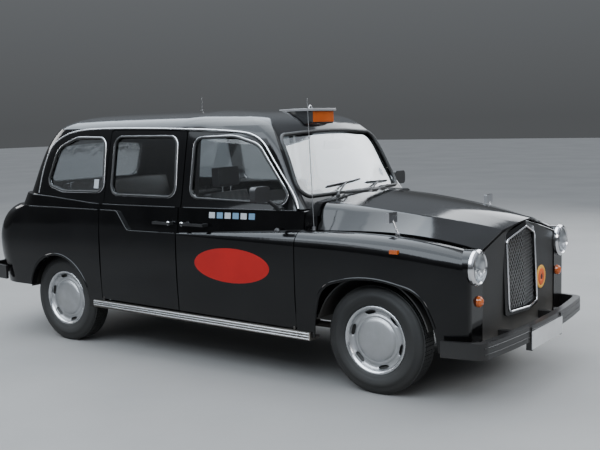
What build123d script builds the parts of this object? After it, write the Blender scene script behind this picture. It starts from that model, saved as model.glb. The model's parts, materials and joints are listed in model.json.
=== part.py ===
from build123d import *
import os
from math import acos, sin, tan

# A London style taxi cab: pontoon front wings, upright cabin with four doors, separate ladder frame.
# Millimetres. +X is forward, +Y is the cab's left, +Z is up. The origin is on the ground at mid length.

# Main places along and above the ground
HALF_LENGTH = 2285
REAR_AXLE_X = -1315
WHEELBASE = 2810
FRONT_AXLE_X = REAR_AXLE_X + WHEELBASE
TRACK_HALF = 711
HUB_Z = 337
TYRE_R = 337
TYRE_HALF_W = 87
RIM_R = 203
SIDE_Y = 872
ROOF_Z = 1766
SILL_Z = 318
FLOOR_BOTTOM = 396
SILL_FACE_Y = 866

# Shut lines and panel sizes
SHUT_GAP = 6
FRONT_SHUT_X = 962
POST_SHUT_X = -40
REAR_SHUT_X = -815
DOOR_REAR_TOP_X = -800
SILL_TOP_REAR = 384
SILL_TOP_FRONT = 357
DOOR_BOTTOM_CLEAR = 8
BELT_Z = 1100
FRAME_T = 30
SKIN_T = 10
GLASS_IN = 12
GLASS_T = 5

TUMBLE_IN = 18

# Arches
REAR_ARCH_R = 346
TAIL_BOTTOM_Z = 425
WHEELHOUSE_R = 392
WHEELHOUSE_T = 8
INNER_WING_Y = 372

# Steering and suspension
KINGPIN_Y = 610
STEER_PIN_R = 12
HUB_SHAFT_R = 29.95
HUB_BORE_R = 30
RUN_GAP = 0.05
SEAT_GAP = 0.3
BEAD_Y = 58

# Door hinge pins
HINGE_IN = 14
HINGE_PIN_R = 5
HINGE_PIN_L = 24


def corner_wire(plane, corners):
    """A closed outline on a plane. Each corner is (u, v, radius); a negative radius is a share of the side."""
    count = len(corners)
    points = [Vector(u, v) for u, v, _ in corners]
    starts = []
    middles = []
    ends = []
    for i, here in enumerate(points):
        radius = corners[i][2]
        to_last = points[i - 1] - here
        to_next = points[(i + 1) % count] - here
        a = to_last.normalized()
        b = to_next.normalized()
        half = acos(max(-1, min(1, a.dot(b)))) / 2
        if radius < 0:
            reach = -radius * min(to_last.length, to_next.length)
            radius = reach * tan(half)
        reach = radius / tan(half)
        starts.append(here + a * reach)
        ends.append(here + b * reach)
        middles.append(here + (a + b).normalized() * (radius / sin(half) - radius) if radius else None)
    edges = []
    for i in range(count):
        if (starts[i] - ends[i - 1]).length > 1e-4:
            edges.append(Edge.make_line(plane.from_local_coords(ends[i - 1]), plane.from_local_coords(starts[i])))
        if middles[i] is not None:
            arc = [plane.from_local_coords(p) for p in (starts[i], middles[i], ends[i])]
            edges.append(Edge.make_three_point_arc(*arc))
    return Wire(edges)


def side_plane(y):
    """Looking along -Y: local x is forward and local y is up."""
    return Plane(origin=(0, y, 0), x_dir=(1, 0, 0), z_dir=(0, -1, 0))


def cross_plane(x):
    """Looking along -X: local x is the cab's left and local y is up."""
    return Plane(origin=(x, 0, 0), x_dir=(0, 1, 0), z_dir=(1, 0, 0))


def level_plane(z):
    return Plane.XY.offset(z)


def prism_y(corners, y0, y1):
    return extrude(Face(corner_wire(side_plane(y1), corners)), y1 - y0, dir=(0, -1, 0))


def prism_x(corners, x0, x1):
    return extrude(Face(corner_wire(cross_plane(x0), corners)), x1 - x0, dir=(1, 0, 0))


def prism_z(corners, z0, z1):
    return extrude(Face(corner_wire(level_plane(z0), corners)), z1 - z0, dir=(0, 0, 1))


def block(x0, x1, y0, y1, z0, z1):
    size = (x1 - x0, y1 - y0, z1 - z0)
    return Pos((x0 + x1) / 2, (y0 + y1) / 2, (z0 + z1) / 2) * Box(*size)


def rod_x(x0, x1, y, z, r):
    return Pos((x0 + x1) / 2, y, z) * Rot(0, 90, 0) * Cylinder(r, x1 - x0)


def rod_y(x, y0, y1, z, r):
    return Pos(x, (y0 + y1) / 2, z) * Rot(90, 0, 0) * Cylinder(r, y1 - y0)


def rod_z(x, y, z0, z1, r):
    return Pos(x, y, (z0 + z1) / 2) * Cylinder(r, z1 - z0)


def bar(a, b, r):
    """A round bar between two points."""
    a = Vector(*a)
    b = Vector(*b)
    middle = (a + b) * 0.5
    return Plane(origin=middle, z_dir=(b - a)) * Cylinder(r, (b - a).length)


def turned_y(profile):
    """A solid of revolution about the line of a wheel's hub. The profile is (y, radius) points."""
    face = Face(Wire.make_polygon([(0, y, r) for y, r in profile]))
    return revolve(face, Axis.Y, 360)


def mirrored(shape):
    return mirror(shape, Plane.XZ)


def joined(first, *others):
    shape = first
    for other in others:
        shape = shape + other
    return shape


def save(name, *shapes):
    solids = []
    for shape in shapes:
        solids += list(shape.solids())
    whole = solids[0] if len(solids) == 1 else Compound(solids)
    export_step(whole, "parts/" + name + ".step")


# The cabin above the belt, as level sections: height, screen centre x, front corner x and half width,
# half width at the middle post and at the tail, tail x, front and rear corner radii.
CABIN_SIDES = [
    (1085, 1042, 945, 704, 809, 792, -1868, 60, 250),
    (1400, 841, 750, 655, 748, 730, -1750, 62, 250),
    (1590, 720, 630, 623, 709, 692, -1632, 80, 240),
    (1650, 664, 560, 590, 694, 676, -1566, 100, 230),
]
# The roof above the gutter, in the same columns.
ROOF_CAP = [
    (1650, 664, 560, 590, 694, 676, -1566, 100, 230),
    (1692, 590, 490, 530, 642, 618, -1495, 110, 220),
    (1727, 470, 375, 430, 545, 520, -1390, 120, 200),
    (1751, 290, 195, 300, 395, 370, -1225, 110, 160),
    (ROOF_Z, 0, -80, 150, 200, 180, -900, 60, 80),
]
# The band between the swage and the belt, in the same columns.
BAND = [
    (880, 1000, 990, 768, 848, 826, -2100, 20, 320),
    (1060, 1000, 990, 741, 835, 812, -1940, 20, 300),
    (1175, 1000, 990, 726, 823, 800, -1868, 20, 280),
]
# The lower body from the middle post to the tail, in the same columns.
FLANK = [
    (SILL_Z, 0, -10, 855, 855, 838, -2140, 5, 330),
    (650, 0, -10, SIDE_Y, SIDE_Y, 855, -2212, 5, 330),
    (830, 0, -10, 871, 871, 855, -2214, 5, 330),
    (975, 0, -10, 863, 863, 845, -2130, 5, 320),
    (1066, 0, -10, 853, 853, 834, -1960, 5, 310),
]


def level_stack(rows, inset=0.0, top_inset=0.0, side_inset=None, ruled=False):
    """A solid through level sections. inset moves every wall inwards; top_inset lowers the highest rows."""
    low_z = rows[0][0]
    high_z = rows[-1][0]
    aside = inset if side_inset is None else side_inset
    wires = []
    for z, x_front, x_corner, y_corner, y_post, y_tail, x_tail, r_front, r_rear in rows:
        share = (z - low_z) / (high_z - low_z)
        level = z - top_inset * share * share
        front = x_front - inset * 1.15
        corner = x_corner - inset * 1.15
        tail = x_tail + inset * 1.1
        half = [
            (corner, y_corner - aside, max(r_front - inset, 5)),
            (POST_SHUT_X, y_post - aside, -0.12),
            (-1000, y_post - aside - 1.5, -0.3),
            (tail + 18, y_tail - aside, max(r_rear - inset, 30)),
        ]
        corners = [(front, 0, -0.45)]
        corners += half
        corners += [(tail, 0, -0.3)]
        corners += [(x, -y, r) for x, y, r in reversed(half)]
        wires.append(corner_wire(level_plane(level), corners))
    return Solid.make_loft(wires, ruled)


def flank_section(x, y_in, z_in, y_side, z_shoulder, r_shoulder, z_bottom=SILL_Z):
    """Cross section of the left lower side: sill, bowed side, rounded shoulder and the top to y_in."""
    corners = [
        (y_in, z_bottom, 0),
        (y_side - TUMBLE_IN, z_bottom, 0),
        (y_side, 640, -0.55),
        (y_side - 5, z_shoulder, r_shoulder),
        (y_in, z_in, 0),
    ]
    return corner_wire(cross_plane(x), corners)


# The front door's flank grows a deep round shoulder towards the front wing:
# x, inner y and z, side y, shoulder z and radius.
DOOR_FLANK = [
    (POST_SHUT_X - 20, 640, 926, 873, 925, 14),
    (FRONT_SHUT_X + 30, 640, 966, 873, 1008, 100),
]
WING_NOSE_X = 2108
WING = [
    (FRONT_SHUT_X + SHUT_GAP, 652, 966, 873, 1008, 100),
    (1300, 652, 974, 873, 1002, 106),
    (1700, 648, 962, 864, 984, 114),
    (WING_NOSE_X, 584, 888, 768, 908, 100),
]


def side_loft(rows, inset=0.0, y_in_shift=0.0, ruled=False):
    wires = []
    for x, y_in, z_in, y_side, z_shoulder, r_shoulder in rows:
        wire = flank_section(
            x, y_in - y_in_shift, z_in - inset, y_side - inset, z_shoulder - inset,
            max(r_shoulder - inset, 6), SILL_Z - 40 if inset else SILL_Z,
        )
        wires.append(wire)
    return Solid.make_loft(wires, ruled)


# The bonnet's cross sections: x, ridge z, crease y and z, valley y and z.
BONNET = [
    (940, 1207, 566, 1142, 652, 972),
    (1400, 1162, 500, 1104, 650, 984),
    (1700, 1124, 420, 1066, 648, 976),
    (2000, 1079, 322, 1014, 612, 930),
    (2174, 1054, 262, 972, 560, 880),
]
# The wings' inner edges, which the bonnet's sides stop short of
VALLEY = [(900, 966), (1300, 974), (1500, 973), (1700, 962), (1800, 952), (1900, 937), (2000, 917), (2108, 889),
          (2200, 866)]


def bonnet_loft(inset=0.0, low=400.0):
    wires = []
    for x, z_ridge, y_crease, z_crease, y_valley, z_valley in BONNET:
        half = [
            (y_crease - inset * 0.6, z_crease - inset * 0.8, 90),
            (y_valley - inset, z_valley, 0),
            (y_valley - inset, low, 0),
        ]
        corners = [(0, z_ridge - inset, -0.5)]
        corners += half
        corners += [(-y, z, r) for y, z, r in reversed(half)]
        wires.append(corner_wire(cross_plane(x), corners))
    return Solid.make_loft(wires)


# Side outlines, as (x, z, radius)
SWAGE = [
    (-2400, 1058, 0), (-632, 1058, 46), (-520, 920, 52), (-20, 923, 0), (-20, 200, 0), (-2400, 200, 0),
]
BELT = [
    (-2400, 1168, 0), (-1661, 1150, 300), (-800, 1098, 400), (1060, 1104, 0), (1060, 860, 0), (-2400, 860, 0),
]
FRONT_DOOR_WINDOW = [
    (36, 1568, 55), (350, 1571, 300), (545, 1512, 160), (806, 1172, 46), (745, 1140, 40), (36, 1166, 60),
]
REAR_DOOR_WINDOW = [(-748, 1582, 62), (-140, 1580, 62), (-112, 1166, 62), (-742, 1170, 62)]
QUARTER_WINDOW = [
    (-868, 1574, 60), (-1180, 1574, 190), (-1385, 1502, 150), (-1478, 1228, 50), (-1290, 1184, 60), (-842, 1184, 55),
]
SCREEN_VIEW = [
    (-628, 1180, 70), (0, 1196, -0.5), (628, 1180, 70), (572, 1574, 70), (0, 1600, -0.6), (-572, 1574, 70),
]
REAR_VIEW = [(-510, 1215, 80), (510, 1215, 80), (470, 1512, 90), (0, 1536, -0.6), (-470, 1512, 90)]
BOOT_VIEW = [(-520, 566, 70), (520, 566, 70), (500, 1046, 76), (-500, 1046, 76)]
BOOT_OPENING = [(-526, 560, 76), (526, 560, 76), (506, 1052, 66), (-506, 1052, 66)]
PANEL_Y = 560


def sill_top(x):
    """The top of the sill rises a little towards the tail."""
    share = (FRONT_SHUT_X - x) / (FRONT_SHUT_X - REAR_SHUT_X)
    return SILL_TOP_FRONT + (SILL_TOP_REAR - SILL_TOP_FRONT) * share


def front_door_outline(grow=0.0):
    """The front door's edge seen from the side; grow widens it for the opening in the body."""
    g = grow
    rear = POST_SHUT_X + 1 - g
    front = FRONT_SHUT_X + g
    return [
        (rear, 1617 + g, 12), (386, 1597 + g, 300), (508, 1567 + g, 110), (594 + g, 1508 + g, 90),
        (874 + g, BELT_Z + g, 0), (front, BELT_Z + g, 8),
        (front, sill_top(front) + DOOR_BOTTOM_CLEAR - g, 8), (rear, sill_top(rear) + DOOR_BOTTOM_CLEAR - g, 8),
    ]


def rear_door_outline(grow=0.0):
    g = grow
    front = POST_SHUT_X - SHUT_GAP - 2 + g
    rear = REAR_SHUT_X - g
    return [
        (front, 1617 + g, 12), (-420, 1631 + g, -0.4), (DOOR_REAR_TOP_X - g, 1633 + g, 30),
        (rear, 1120, 60), (rear, sill_top(rear) + DOOR_BOTTOM_CLEAR - g, 20),
        (front, sill_top(front) + DOOR_BOTTOM_CLEAR - g, 8),
    ]


# The cabin's walls above the belt
INSET_SIDES = [(CABIN_SIDES[0][0] - 30,) + CABIN_SIDES[0][1:]] + CABIN_SIDES[1:3] + [
    (CABIN_SIDES[3][0] + 5,) + CABIN_SIDES[3][1:]
]


def cabin_layer(outer, inner):
    """The layer of the cabin's side walls between two depths below its outside."""
    return level_stack(CABIN_SIDES, outer) - level_stack(INSET_SIDES, inner)


upper_wall = cabin_layer(0, FRAME_T)
glass_layer = cabin_layer(GLASS_IN, GLASS_IN + GLASS_T)

# The hollow of the body below the belt
INSIDE_DOOR_REAR = [(812, 240, 0), (812, 880, 0), (800, 900, 0), (796, 1000, 0), (784, 1200, 0)]
INSIDE_DOOR_FRONT = [(822, 240, 0), (822, 860, 0), (724, 950, 0), (690, 1000, 0), (664, 1200, 0)]


def two_sided(half):
    """A closed outline from its left half."""
    return half + [(-u, v, r) for u, v, r in reversed(half)]


inside_front = Solid.make_loft([
    corner_wire(cross_plane(POST_SHUT_X - 60), two_sided(INSIDE_DOOR_REAR)),
    corner_wire(cross_plane(FRONT_SHUT_X + 40), two_sided(INSIDE_DOOR_FRONT)),
], True)
INSIDE_TAIL = [
    (240, 30, 20, 812, 812, 795, -2095, 5, 290),
    (830, 30, 20, 812, 812, 795, -2168, 5, 290),
    (975, 30, 20, 800, 800, 783, -2086, 5, 270),
    (1066, 30, 20, 792, 792, 772, -1918, 5, 250),
    (1210, 30, 20, 776, 776, 758, -1800, 5, 240),
]
inside_tail = level_stack(INSIDE_TAIL, ruled=True)


def belt_cut(outline):
    """A side outline's part below the belt and its part above it, as prisms on the left."""
    prism = prism_y(outline, 560, 1000)
    low = prism & block(-2400, 1200, 200, 1100, 100, BELT_Z)
    high = prism & block(-2400, 1200, 200, 1100, BELT_Z, 1800)
    return low, high


def hinge_edge(hinge_x, toward):
    """Everything a door may fill in plan: its hinge edge is round about the pin."""
    edge_x = hinge_x + toward * HINGE_IN
    far_x = hinge_x - toward * 1200
    keep = [(edge_x, 300, 0), (edge_x, SIDE_Y + 1, HINGE_IN), (far_x, SIDE_Y + 1, 0), (far_x, 300, 0)]
    return prism_z(keep, 200, 1800)


def make_door(outline, window, hinge_x, toward, low_outer, low_inner):
    """Left door shell: the wall inside the outline, with its window cut and its hinge edge rounded."""
    low, high = belt_cut(outline)
    low_part = (low_outer & low) - low_inner
    band_part = (band & low) - low_inner
    high_part = (upper_wall & high) - prism_y(window, 300, 1000)
    shell = joined(low_part, band_part, high_part) & hinge_edge(hinge_x, toward)
    return shell - rod_z(hinge_x, HINGE_Y, 200, sill_top(hinge_x) + HINGE_PIN_L, HINGE_PIN_R + RUN_GAP)


FRONT_HINGE_X = FRONT_SHUT_X - HINGE_IN
REAR_HINGE_X = REAR_SHUT_X + HINGE_IN
HINGE_Y = SIDE_Y + 1 - HINGE_IN
cabin_outer = level_stack(CABIN_SIDES)
band = level_stack(BAND) & prism_y(BELT, -1000, 1000)
flank_solid = level_stack(FLANK)
flank_tail = flank_solid & prism_y(SWAGE, -1000, 1000)
flank_front = side_loft(DOOR_FLANK, ruled=True)


def both_sides(corners, y0=500, y1=1000):
    left = prism_y(corners, y0, y1)
    return left, mirrored(left)


HEADER_Z = 1602


def cut_all(shape, cutters):
    for cutter in cutters:
        shape = shape - cutter
    return shape


door_cuts = both_sides(front_door_outline(SHUT_GAP)) + both_sides(rear_door_outline(SHUT_GAP))
screen_cut = prism_x(SCREEN_VIEW, 500, 1200)
rear_cut = prism_x(REAR_VIEW, -2000, -1450)


def make_windscreen_frame():
    front = upper_wall & block(100, 1100, -1000, 1000, BELT_Z, HEADER_Z)
    return cut_all(front, both_sides(front_door_outline(SHUT_GAP)) + (screen_cut,))


def make_roof():
    """The roof skin with the rails over the doors, the screen and the rear window."""
    inner = [(ROOF_CAP[0][0] - 40,) + ROOF_CAP[0][1:]] + [(row[0] - 22,) + row[1:] for row in ROOF_CAP[1:]]
    cap = level_stack(ROOF_CAP) - level_stack(inner, 24)
    rail = upper_wall & block(-2400, 1200, -1000, 1000, HEADER_Z, 1700)
    rail = cut_all(rail, door_cuts + (rear_cut,))
    return cap + rail


def make_tail():
    """The body behind the rear doors: walls above the belt, the band and the lower body."""
    behind = block(-2400, REAR_SHUT_X - SHUT_GAP + 30, -1000, 1000, 200, HEADER_Z)
    high = cut_all(upper_wall & behind & block(-2400, 0, -1000, 1000, BELT_Z, HEADER_Z), both_sides(
        rear_door_outline(SHUT_GAP)) + both_sides(QUARTER_WINDOW) + (rear_cut,))
    middle = cut_all((band & behind) - inside_tail, both_sides(rear_door_outline(SHUT_GAP)) + (cabin_outer,))
    low = cut_all((flank_tail & behind) - inside_tail, both_sides(rear_door_outline(SHUT_GAP)))
    low = low - rod_y(REAR_AXLE_X, -1000, 1000, HUB_Z, REAR_ARCH_R)
    low = low - block(-2400, REAR_AXLE_X, -1000, 1000, 200, TAIL_BOTTOM_Z)
    return high, middle, low


def tail_piece(parts, y0, y1):
    """The parts of the tail between two widths, as one piece."""
    slab = block(-2400, 0, y0, y1, 200, 1700)
    return joined(*[part & slab for part in parts])


# Boot lid: a pressing on two hinges with barrels outside its top edge
LID_T = 18
BOOT_HINGE_X = -2020
BOOT_HINGE_Z = 1050
BOOT_HINGE_Y = 330
BARREL_R = 6
BARREL_HALF_L = 20
EAR_T = 8


def make_boot_lid():
    lid = (flank_tail & prism_x(BOOT_VIEW, -2400, -1850)) - level_stack(FLANK, LID_T, ruled=True)
    for y in (-BOOT_HINGE_Y, BOOT_HINGE_Y):
        y0 = y - BARREL_HALF_L
        y1 = y + BARREL_HALF_L
        lid = lid + block(BOOT_HINGE_X - BARREL_R, BOOT_HINGE_X + 20, y0, y1, BOOT_HINGE_Z - 20, BOOT_HINGE_Z - 2)
        lid = lid + rod_y(BOOT_HINGE_X, y0, y1, BOOT_HINGE_Z, BARREL_R)
        lid = lid - rod_y(BOOT_HINGE_X, y0 - 1, y1 + 1, BOOT_HINGE_Z, BARREL_R / 2 + RUN_GAP)
    return lid


def make_boot_ears():
    """The fixed halves of the boot's hinges, with their pins."""
    ears = []
    for y in (-BOOT_HINGE_Y, BOOT_HINGE_Y):
        reach = BARREL_HALF_L + 0.5 + EAR_T
        ear = rod_y(BOOT_HINGE_X, y - reach, y + reach, BOOT_HINGE_Z, BARREL_R) + block(
            BOOT_HINGE_X - BARREL_R, -1966, y - reach, y + reach, BOOT_HINGE_Z + 1, BOOT_HINGE_Z + 8)
        gap = BARREL_HALF_L + 0.5
        ear = ear - block(BOOT_HINGE_X - 20, -1990, y - gap, y + gap, BOOT_HINGE_Z - 20, BOOT_HINGE_Z + 20)
        ears.append(ear + rod_y(BOOT_HINGE_X, y - gap - 1, y + gap + 1, BOOT_HINGE_Z, BARREL_R / 2))
    return ears


# Bonnet, cowl, wings and nose
COWL_X = FRONT_SHUT_X + SHUT_GAP
BULKHEAD_T = 12
BONNET_EDGE = [(992, 700), (992, 560), (1062, 0), (992, -560), (992, -700)]
BONNET_NOSE = [(2104, -700, 0), (2104, -300, 0), (2172, 0, -0.3), (2104, 300, 0), (2104, 700, 0)]
NOSE_X = 2088
NOSE_T = 14


def bonnet_region(gap):
    """Everything ahead of the cowl's curved front edge, in plan, up to the bonnet's peaked nose."""
    corners = [(x + gap, y, -0.4 if y == 0 else 0) for x, y in BONNET_EDGE]
    return prism_z(corners + BONNET_NOSE, 300, 1300)


def valley_cut():
    """Below the line where the bonnet's sides meet the wings."""
    line = [(900, 700, 0)] + [(x, z + SHUT_GAP, 0) for x, z in VALLEY] + [(2200, 700, 0)]
    return prism_y(line, -700, 700)


# The bonnet's hinges: barrels in pockets of the cowl, level with its top
BONNET_HINGE_X = 1040
BONNET_HINGE_Z = 1180.5
BONNET_HINGE_Y = 60
KNUCKLE_R = 5
KNUCKLE_HALF_L = 19
POCKET_HALF_L = 25
BONNET_PIN_R = 2


def make_bonnet():
    skin = bonnet_loft() - bonnet_loft(SKIN_T, 300)
    bonnet = (skin & bonnet_region(SHUT_GAP)) - block(900, 2200, -700, 700, 300, 880) - valley_cut()
    for y in (-BONNET_HINGE_Y, BONNET_HINGE_Y):
        y0 = y - KNUCKLE_HALF_L
        y1 = y + KNUCKLE_HALF_L
        bonnet = bonnet + rod_y(BONNET_HINGE_X, y0, y1, BONNET_HINGE_Z, KNUCKLE_R)
        bonnet = bonnet + block(BONNET_HINGE_X, BONNET_HINGE_X + 34, y0, y1, BONNET_HINGE_Z - 4, BONNET_HINGE_Z + 1)
        bonnet = bonnet - rod_y(BONNET_HINGE_X, y0 - 1, y1 + 1, BONNET_HINGE_Z, BONNET_PIN_R + RUN_GAP)
    return bonnet


def make_cowl(wing_solid):
    """The panel between the bonnet's rear edge, the wings and the screen, with the bulkhead below."""
    side = Solid.make_loft([
        corner_wire(cross_plane(COWL_X), [
            (0, 1206, -0.5), (612, 1150, 60), (741, 1078, 60), (750, 930, 0), (-750, 930, 0), (-741, 1078, 60),
            (-612, 1150, 60)]),
        corner_wire(cross_plane(1000), [
            (0, 1203, -0.5), (566, 1142, 60), (652, 1040, 60), (652, 930, 0), (-652, 930, 0), (-652, 1040, 60),
            (-566, 1142, 60)]),
    ], True)
    ahead = (bonnet_loft() & block(1000, 1100, -700, 700, 930, 1300)) - bonnet_region(0)
    hollow = block(COWL_X + BULKHEAD_T, 1200, -640, 640, 800, 1060) + block(
        COWL_X + BULKHEAD_T, 1200, -520, 520, 1000, 1110)
    top = (side - bonnet_region(0)) + ahead
    top = top - hollow - cabin_outer - wing_solid - mirrored(wing_solid)
    for y in (-BONNET_HINGE_Y, BONNET_HINGE_Y):
        y0 = y - POCKET_HALF_L
        y1 = y + POCKET_HALF_L
        top = top - block(BONNET_HINGE_X - 11, 1100, y0, y1, BONNET_HINGE_Z - 16, 1300)
        top = top + rod_y(BONNET_HINGE_X, y0 - 2, y1 + 2, BONNET_HINGE_Z, BONNET_PIN_R)
    bulkhead = block(COWL_X, COWL_X + BULKHEAD_T, -640, 640, FLOOR_BOTTOM, 1050)
    return top + (bulkhead - block(900, 1100, -140, 140, 300, 610))


ARCH_CUT = [(1094, 200, 0), (1106, 430, -0.4), (1165, 655, -0.4), (1490, 742, -0.55), (1830, 665, -0.4),
            (1922, 440, -0.4), (1944, 200, 0)]


# Lamps: the x, y and z of their seats
HEADLAMP = (WING_NOSE_X, 675, 813)
LAMP_HOUSING_R = 103
NOSE_CORNER = (786, 90)


def nose_region(inset):
    """Everything behind the wing's front, which is rounded in plan."""
    front = WING_NOSE_X - inset
    y, r = NOSE_CORNER
    return prism_z([(900, 300, 0), (front, 300, 0), (front, y - inset, r - inset), (1700, 960, 0), (900, 1000, 0)],
                   200, 1200)


def lamp_housing(r, front):
    x, y, z = HEADLAMP
    return rod_x(x - 148, front, y, z, r)


def make_wing_outside():
    return (side_loft(WING) & nose_region(0)) + lamp_housing(LAMP_HOUSING_R, WING_NOSE_X)


def make_wing(wing_solid):
    first = WING[0]
    last = WING[-1]
    rows = [(first[0] - 40,) + first[1:]] + WING[1:-1] + [(WING_NOSE_X - NOSE_T, 587, 891, 772, 911, last[5])]
    hollow = side_loft(rows, SKIN_T, 60, ruled=True) & nose_region(SKIN_T)
    shell = wing_solid - hollow - lamp_housing(LAMP_HOUSING_R - SKIN_T, WING_NOSE_X - NOSE_T)
    return shell - prism_y(ARCH_CUT, 400, 1100)


def make_inner_wing():
    """The engine bay's side and the wheelhouse over the front wheel."""
    outer_r = WHEELHOUSE_R + WHEELHOUSE_T
    house = rod_y(FRONT_AXLE_X, INNER_WING_Y - 2, 825, HUB_Z, outer_r) - rod_y(
        FRONT_AXLE_X, INNER_WING_Y, 826, HUB_Z, WHEELHOUSE_R)
    house = house - block(1000, 2000, 300, 900, -100, 440)
    return house + block(COWL_X + BULKHEAD_T, NOSE_X, INNER_WING_Y - 8, INNER_WING_Y, 440, 940)


def make_nose(wing_solid):
    outline = [(-580, SILL_Z, 60), (580, SILL_Z, 60), (580, 880, 20), (286, 966, 70), (0, 1026, -0.5),
               (-286, 966, 70), (-580, 880, 20)]
    panel = prism_x(outline, NOSE_X, NOSE_X + NOSE_T) - wing_solid - mirrored(wing_solid)
    return panel - block(2000, 2200, -222, 222, 470, 925)


# Grille: a peaked frame that is creased at the middle and leans back at its top
GRILLE_BASE_Z = 452
GRILLE_OUTER = [(-268, GRILLE_BASE_Z, 24), (268, GRILLE_BASE_Z, 24), (266, 946, 46), (0, 1018, 60), (-266, 946, 46)]
GRILLE_INNER = [(-222, 480, 18), (222, 480, 18), (220, 912, 30), (0, 978, 40), (-220, 912, 30)]
GRILLE_LEAN = 2.6


def grille_wedge(x_middle, x_side, back):
    """Everything behind a face that is creased at the middle and leans back."""
    plan = [(back, -300, 0), (x_side, -300, 0), (x_middle, 0, 0), (x_side, 300, 0), (back, 300, 0)]
    lean = Pos(x_middle, 0, GRILLE_BASE_Z) * Rot(0, -GRILLE_LEAN, 0) * Pos(-x_middle, 0, -GRILLE_BASE_Z)
    return lean * prism_z(plan, 300, 1200)


def make_grille_surround():
    front = NOSE_X + NOSE_T
    ring = prism_x(GRILLE_OUTER, front, 2200) - prism_x(GRILLE_INNER, NOSE_X, 2210)
    return ring & grille_wedge(2162, 2112, 2000)


def make_grille_mesh():
    mesh = prism_x(GRILLE_INNER, NOSE_X + NOSE_T, 2200) & grille_wedge(2146, 2106, 2000)
    return mesh - grille_wedge(2140, 2100, 1990)


# Lamps
INDICATOR = (WING_NOSE_X, 640, 610)


def turned_x(profile, y, z):
    """A solid of revolution about a line along X. The profile is (x, radius) points."""
    face = Face(Wire.make_polygon([(x, 0, r) for x, r in profile]))
    return Pos(0, y, z) * revolve(face, Axis.X, 360)


def make_headlamp_bezel():
    x, y, z = HEADLAMP
    return turned_x([(x, 84), (x, 106), (x + 16, 106), (x + 26, 98), (x + 30, 90), (x + 22, 84)], y, z)


def make_headlamp_lens():
    x, y, z = HEADLAMP
    return turned_x([(x, 0), (x, 84), (x + 20, 84), (x + 34, 60), (x + 42, 30), (x + 44, 0)], y, z)


def make_dome(x, y, z, r, out):
    return turned_x([(x, 0), (x, r), (x + out * 0.5, r * 0.9), (x + out * 0.85, r * 0.55), (x + out, 0)], y, z)


# Level sections of the tail beside the rear lamps, in the columns of the flank's table
LAMP_ROWS = [
    (640, 0, -10, 872, 872, 855, -2212, 5, 330),
    (900, 0, -10, 868, 868, 851, -2186, 5, 325),
]
REAR_LAMP_OUT = 16


def make_rear_lamp():
    """Left lamp cluster: a tall lens that follows the rounded corner of the tail."""
    lens = level_stack(LAMP_ROWS, -REAR_LAMP_OUT, ruled=True) & block(-2300, -1900, 606, 696, 640, 900)
    return lens - flank_solid


def make_repeater(wing_solid):
    return block(1652, 1706, 840, 872, 889, 911) - wing_solid


# Bumpers: a bar that wraps round each corner
FRONT_PLATE_X = HALF_LENGTH - 3
PLATE_W = 520
PLATE_H = 111


def make_front_bumper():
    outer = [(1972, 862, 0), (2222, 822, 70), (2323, 0, -0.85), (2222, -822, 70), (1972, -862, 0),
             (1972, -846, 0), (2176, -796, 50), (2276, 0, -0.85), (2176, 796, 50), (1972, 846, 0)]
    bumper = prism_z(outer, 312, 408)
    for y in (-330, 330):
        bumper = bumper + block(NOSE_X + NOSE_T, 2240, y - 20, y + 20, 335, 385)
    for y in (-246, 246):
        bumper = bumper + block(2244, FRONT_PLATE_X, y - 9, y + 9, 256, 400)
    return bumper


def make_rear_bumper():
    whole = prism_z([(-1925, 880, 0), (-2226, 850, 80), (-2329, 0, -0.85), (-2226, -850, 80), (-1925, -880, 0)],
                    452, 560)
    inner = prism_z([(-1900, 862, 0), (-2205, 806, 60), (-2290, 0, -0.85), (-2205, -806, 60), (-1900, -862, 0)],
                    400, 600)
    bumper = whole - inner
    for y in (-330, 330):
        bumper = bumper + (block(-2250, -2100, y - 20, y + 20, 470, 520) - flank_solid)
    return bumper


def make_front_plate():
    return block(FRONT_PLATE_X, HALF_LENGTH, -PLATE_W / 2, PLATE_W / 2, 264, 264 + PLATE_H)


def make_rear_plate():
    return block(-2226, -2150, -PLATE_W / 2, PLATE_W / 2, 640, 640 + PLATE_H) - flank_solid


# Underbody
RAIL_OUT = 350
RAIL_IN = 290
RAIL_JOIN_REAR = -960
RAIL_JOIN_FRONT = 1000
FLOOR_TOP = FLOOR_BOTTOM + 10
RISER_X = -895
RISER_T = 10
BOOT_FLOOR_TOP = 610
EYE_R = 15
EYE_T = 16
FRONT_EYE_Z = 285
REAR_EYE_Z = 395
GEARBOX_SEAT_X = 960


def make_side_members():
    """Left side member in three lengths, butted end to end: rear arch, middle and front."""
    rear = [(-2060, 470, 0), (-1700, 470, 60), (-1600, 490, 60), (-1140, 490, 60), (-1000, 310, 60),
            (RAIL_JOIN_REAR, 310, 0), (RAIL_JOIN_REAR, FLOOR_BOTTOM, 0), (-1080, 575, 60), (-1600, 575, 60),
            (-1740, 555, 60), (-2060, 555, 0)]
    middle = [(RAIL_JOIN_REAR, 310, 0), (RAIL_JOIN_FRONT, 310, 0), (RAIL_JOIN_FRONT, FLOOR_BOTTOM, 0),
              (RAIL_JOIN_REAR, FLOOR_BOTTOM, 0)]
    front = [(RAIL_JOIN_FRONT, 310, 0), (1130, 340, 60), (2080, 340, 0), (2080, 420, 0), (1130, 420, 60),
             (RAIL_JOIN_FRONT, FLOOR_BOTTOM, 0)]
    return [prism_y(outline, RAIL_IN, RAIL_OUT) for outline in (rear, middle, front)]


def make_cross_members():
    """Three between the side members and three below them."""
    members = [block(x - 30, x + 30, -RAIL_IN, RAIL_IN, z, z + 60) for x, z in ((-2030, 480), (1480, 345), (2040, 350))]
    for x in (-700, 150, GEARBOX_SEAT_X):
        members.append(block(x - 30, x + 30, -RAIL_OUT, RAIL_OUT, 270, 310))
    return members


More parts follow.
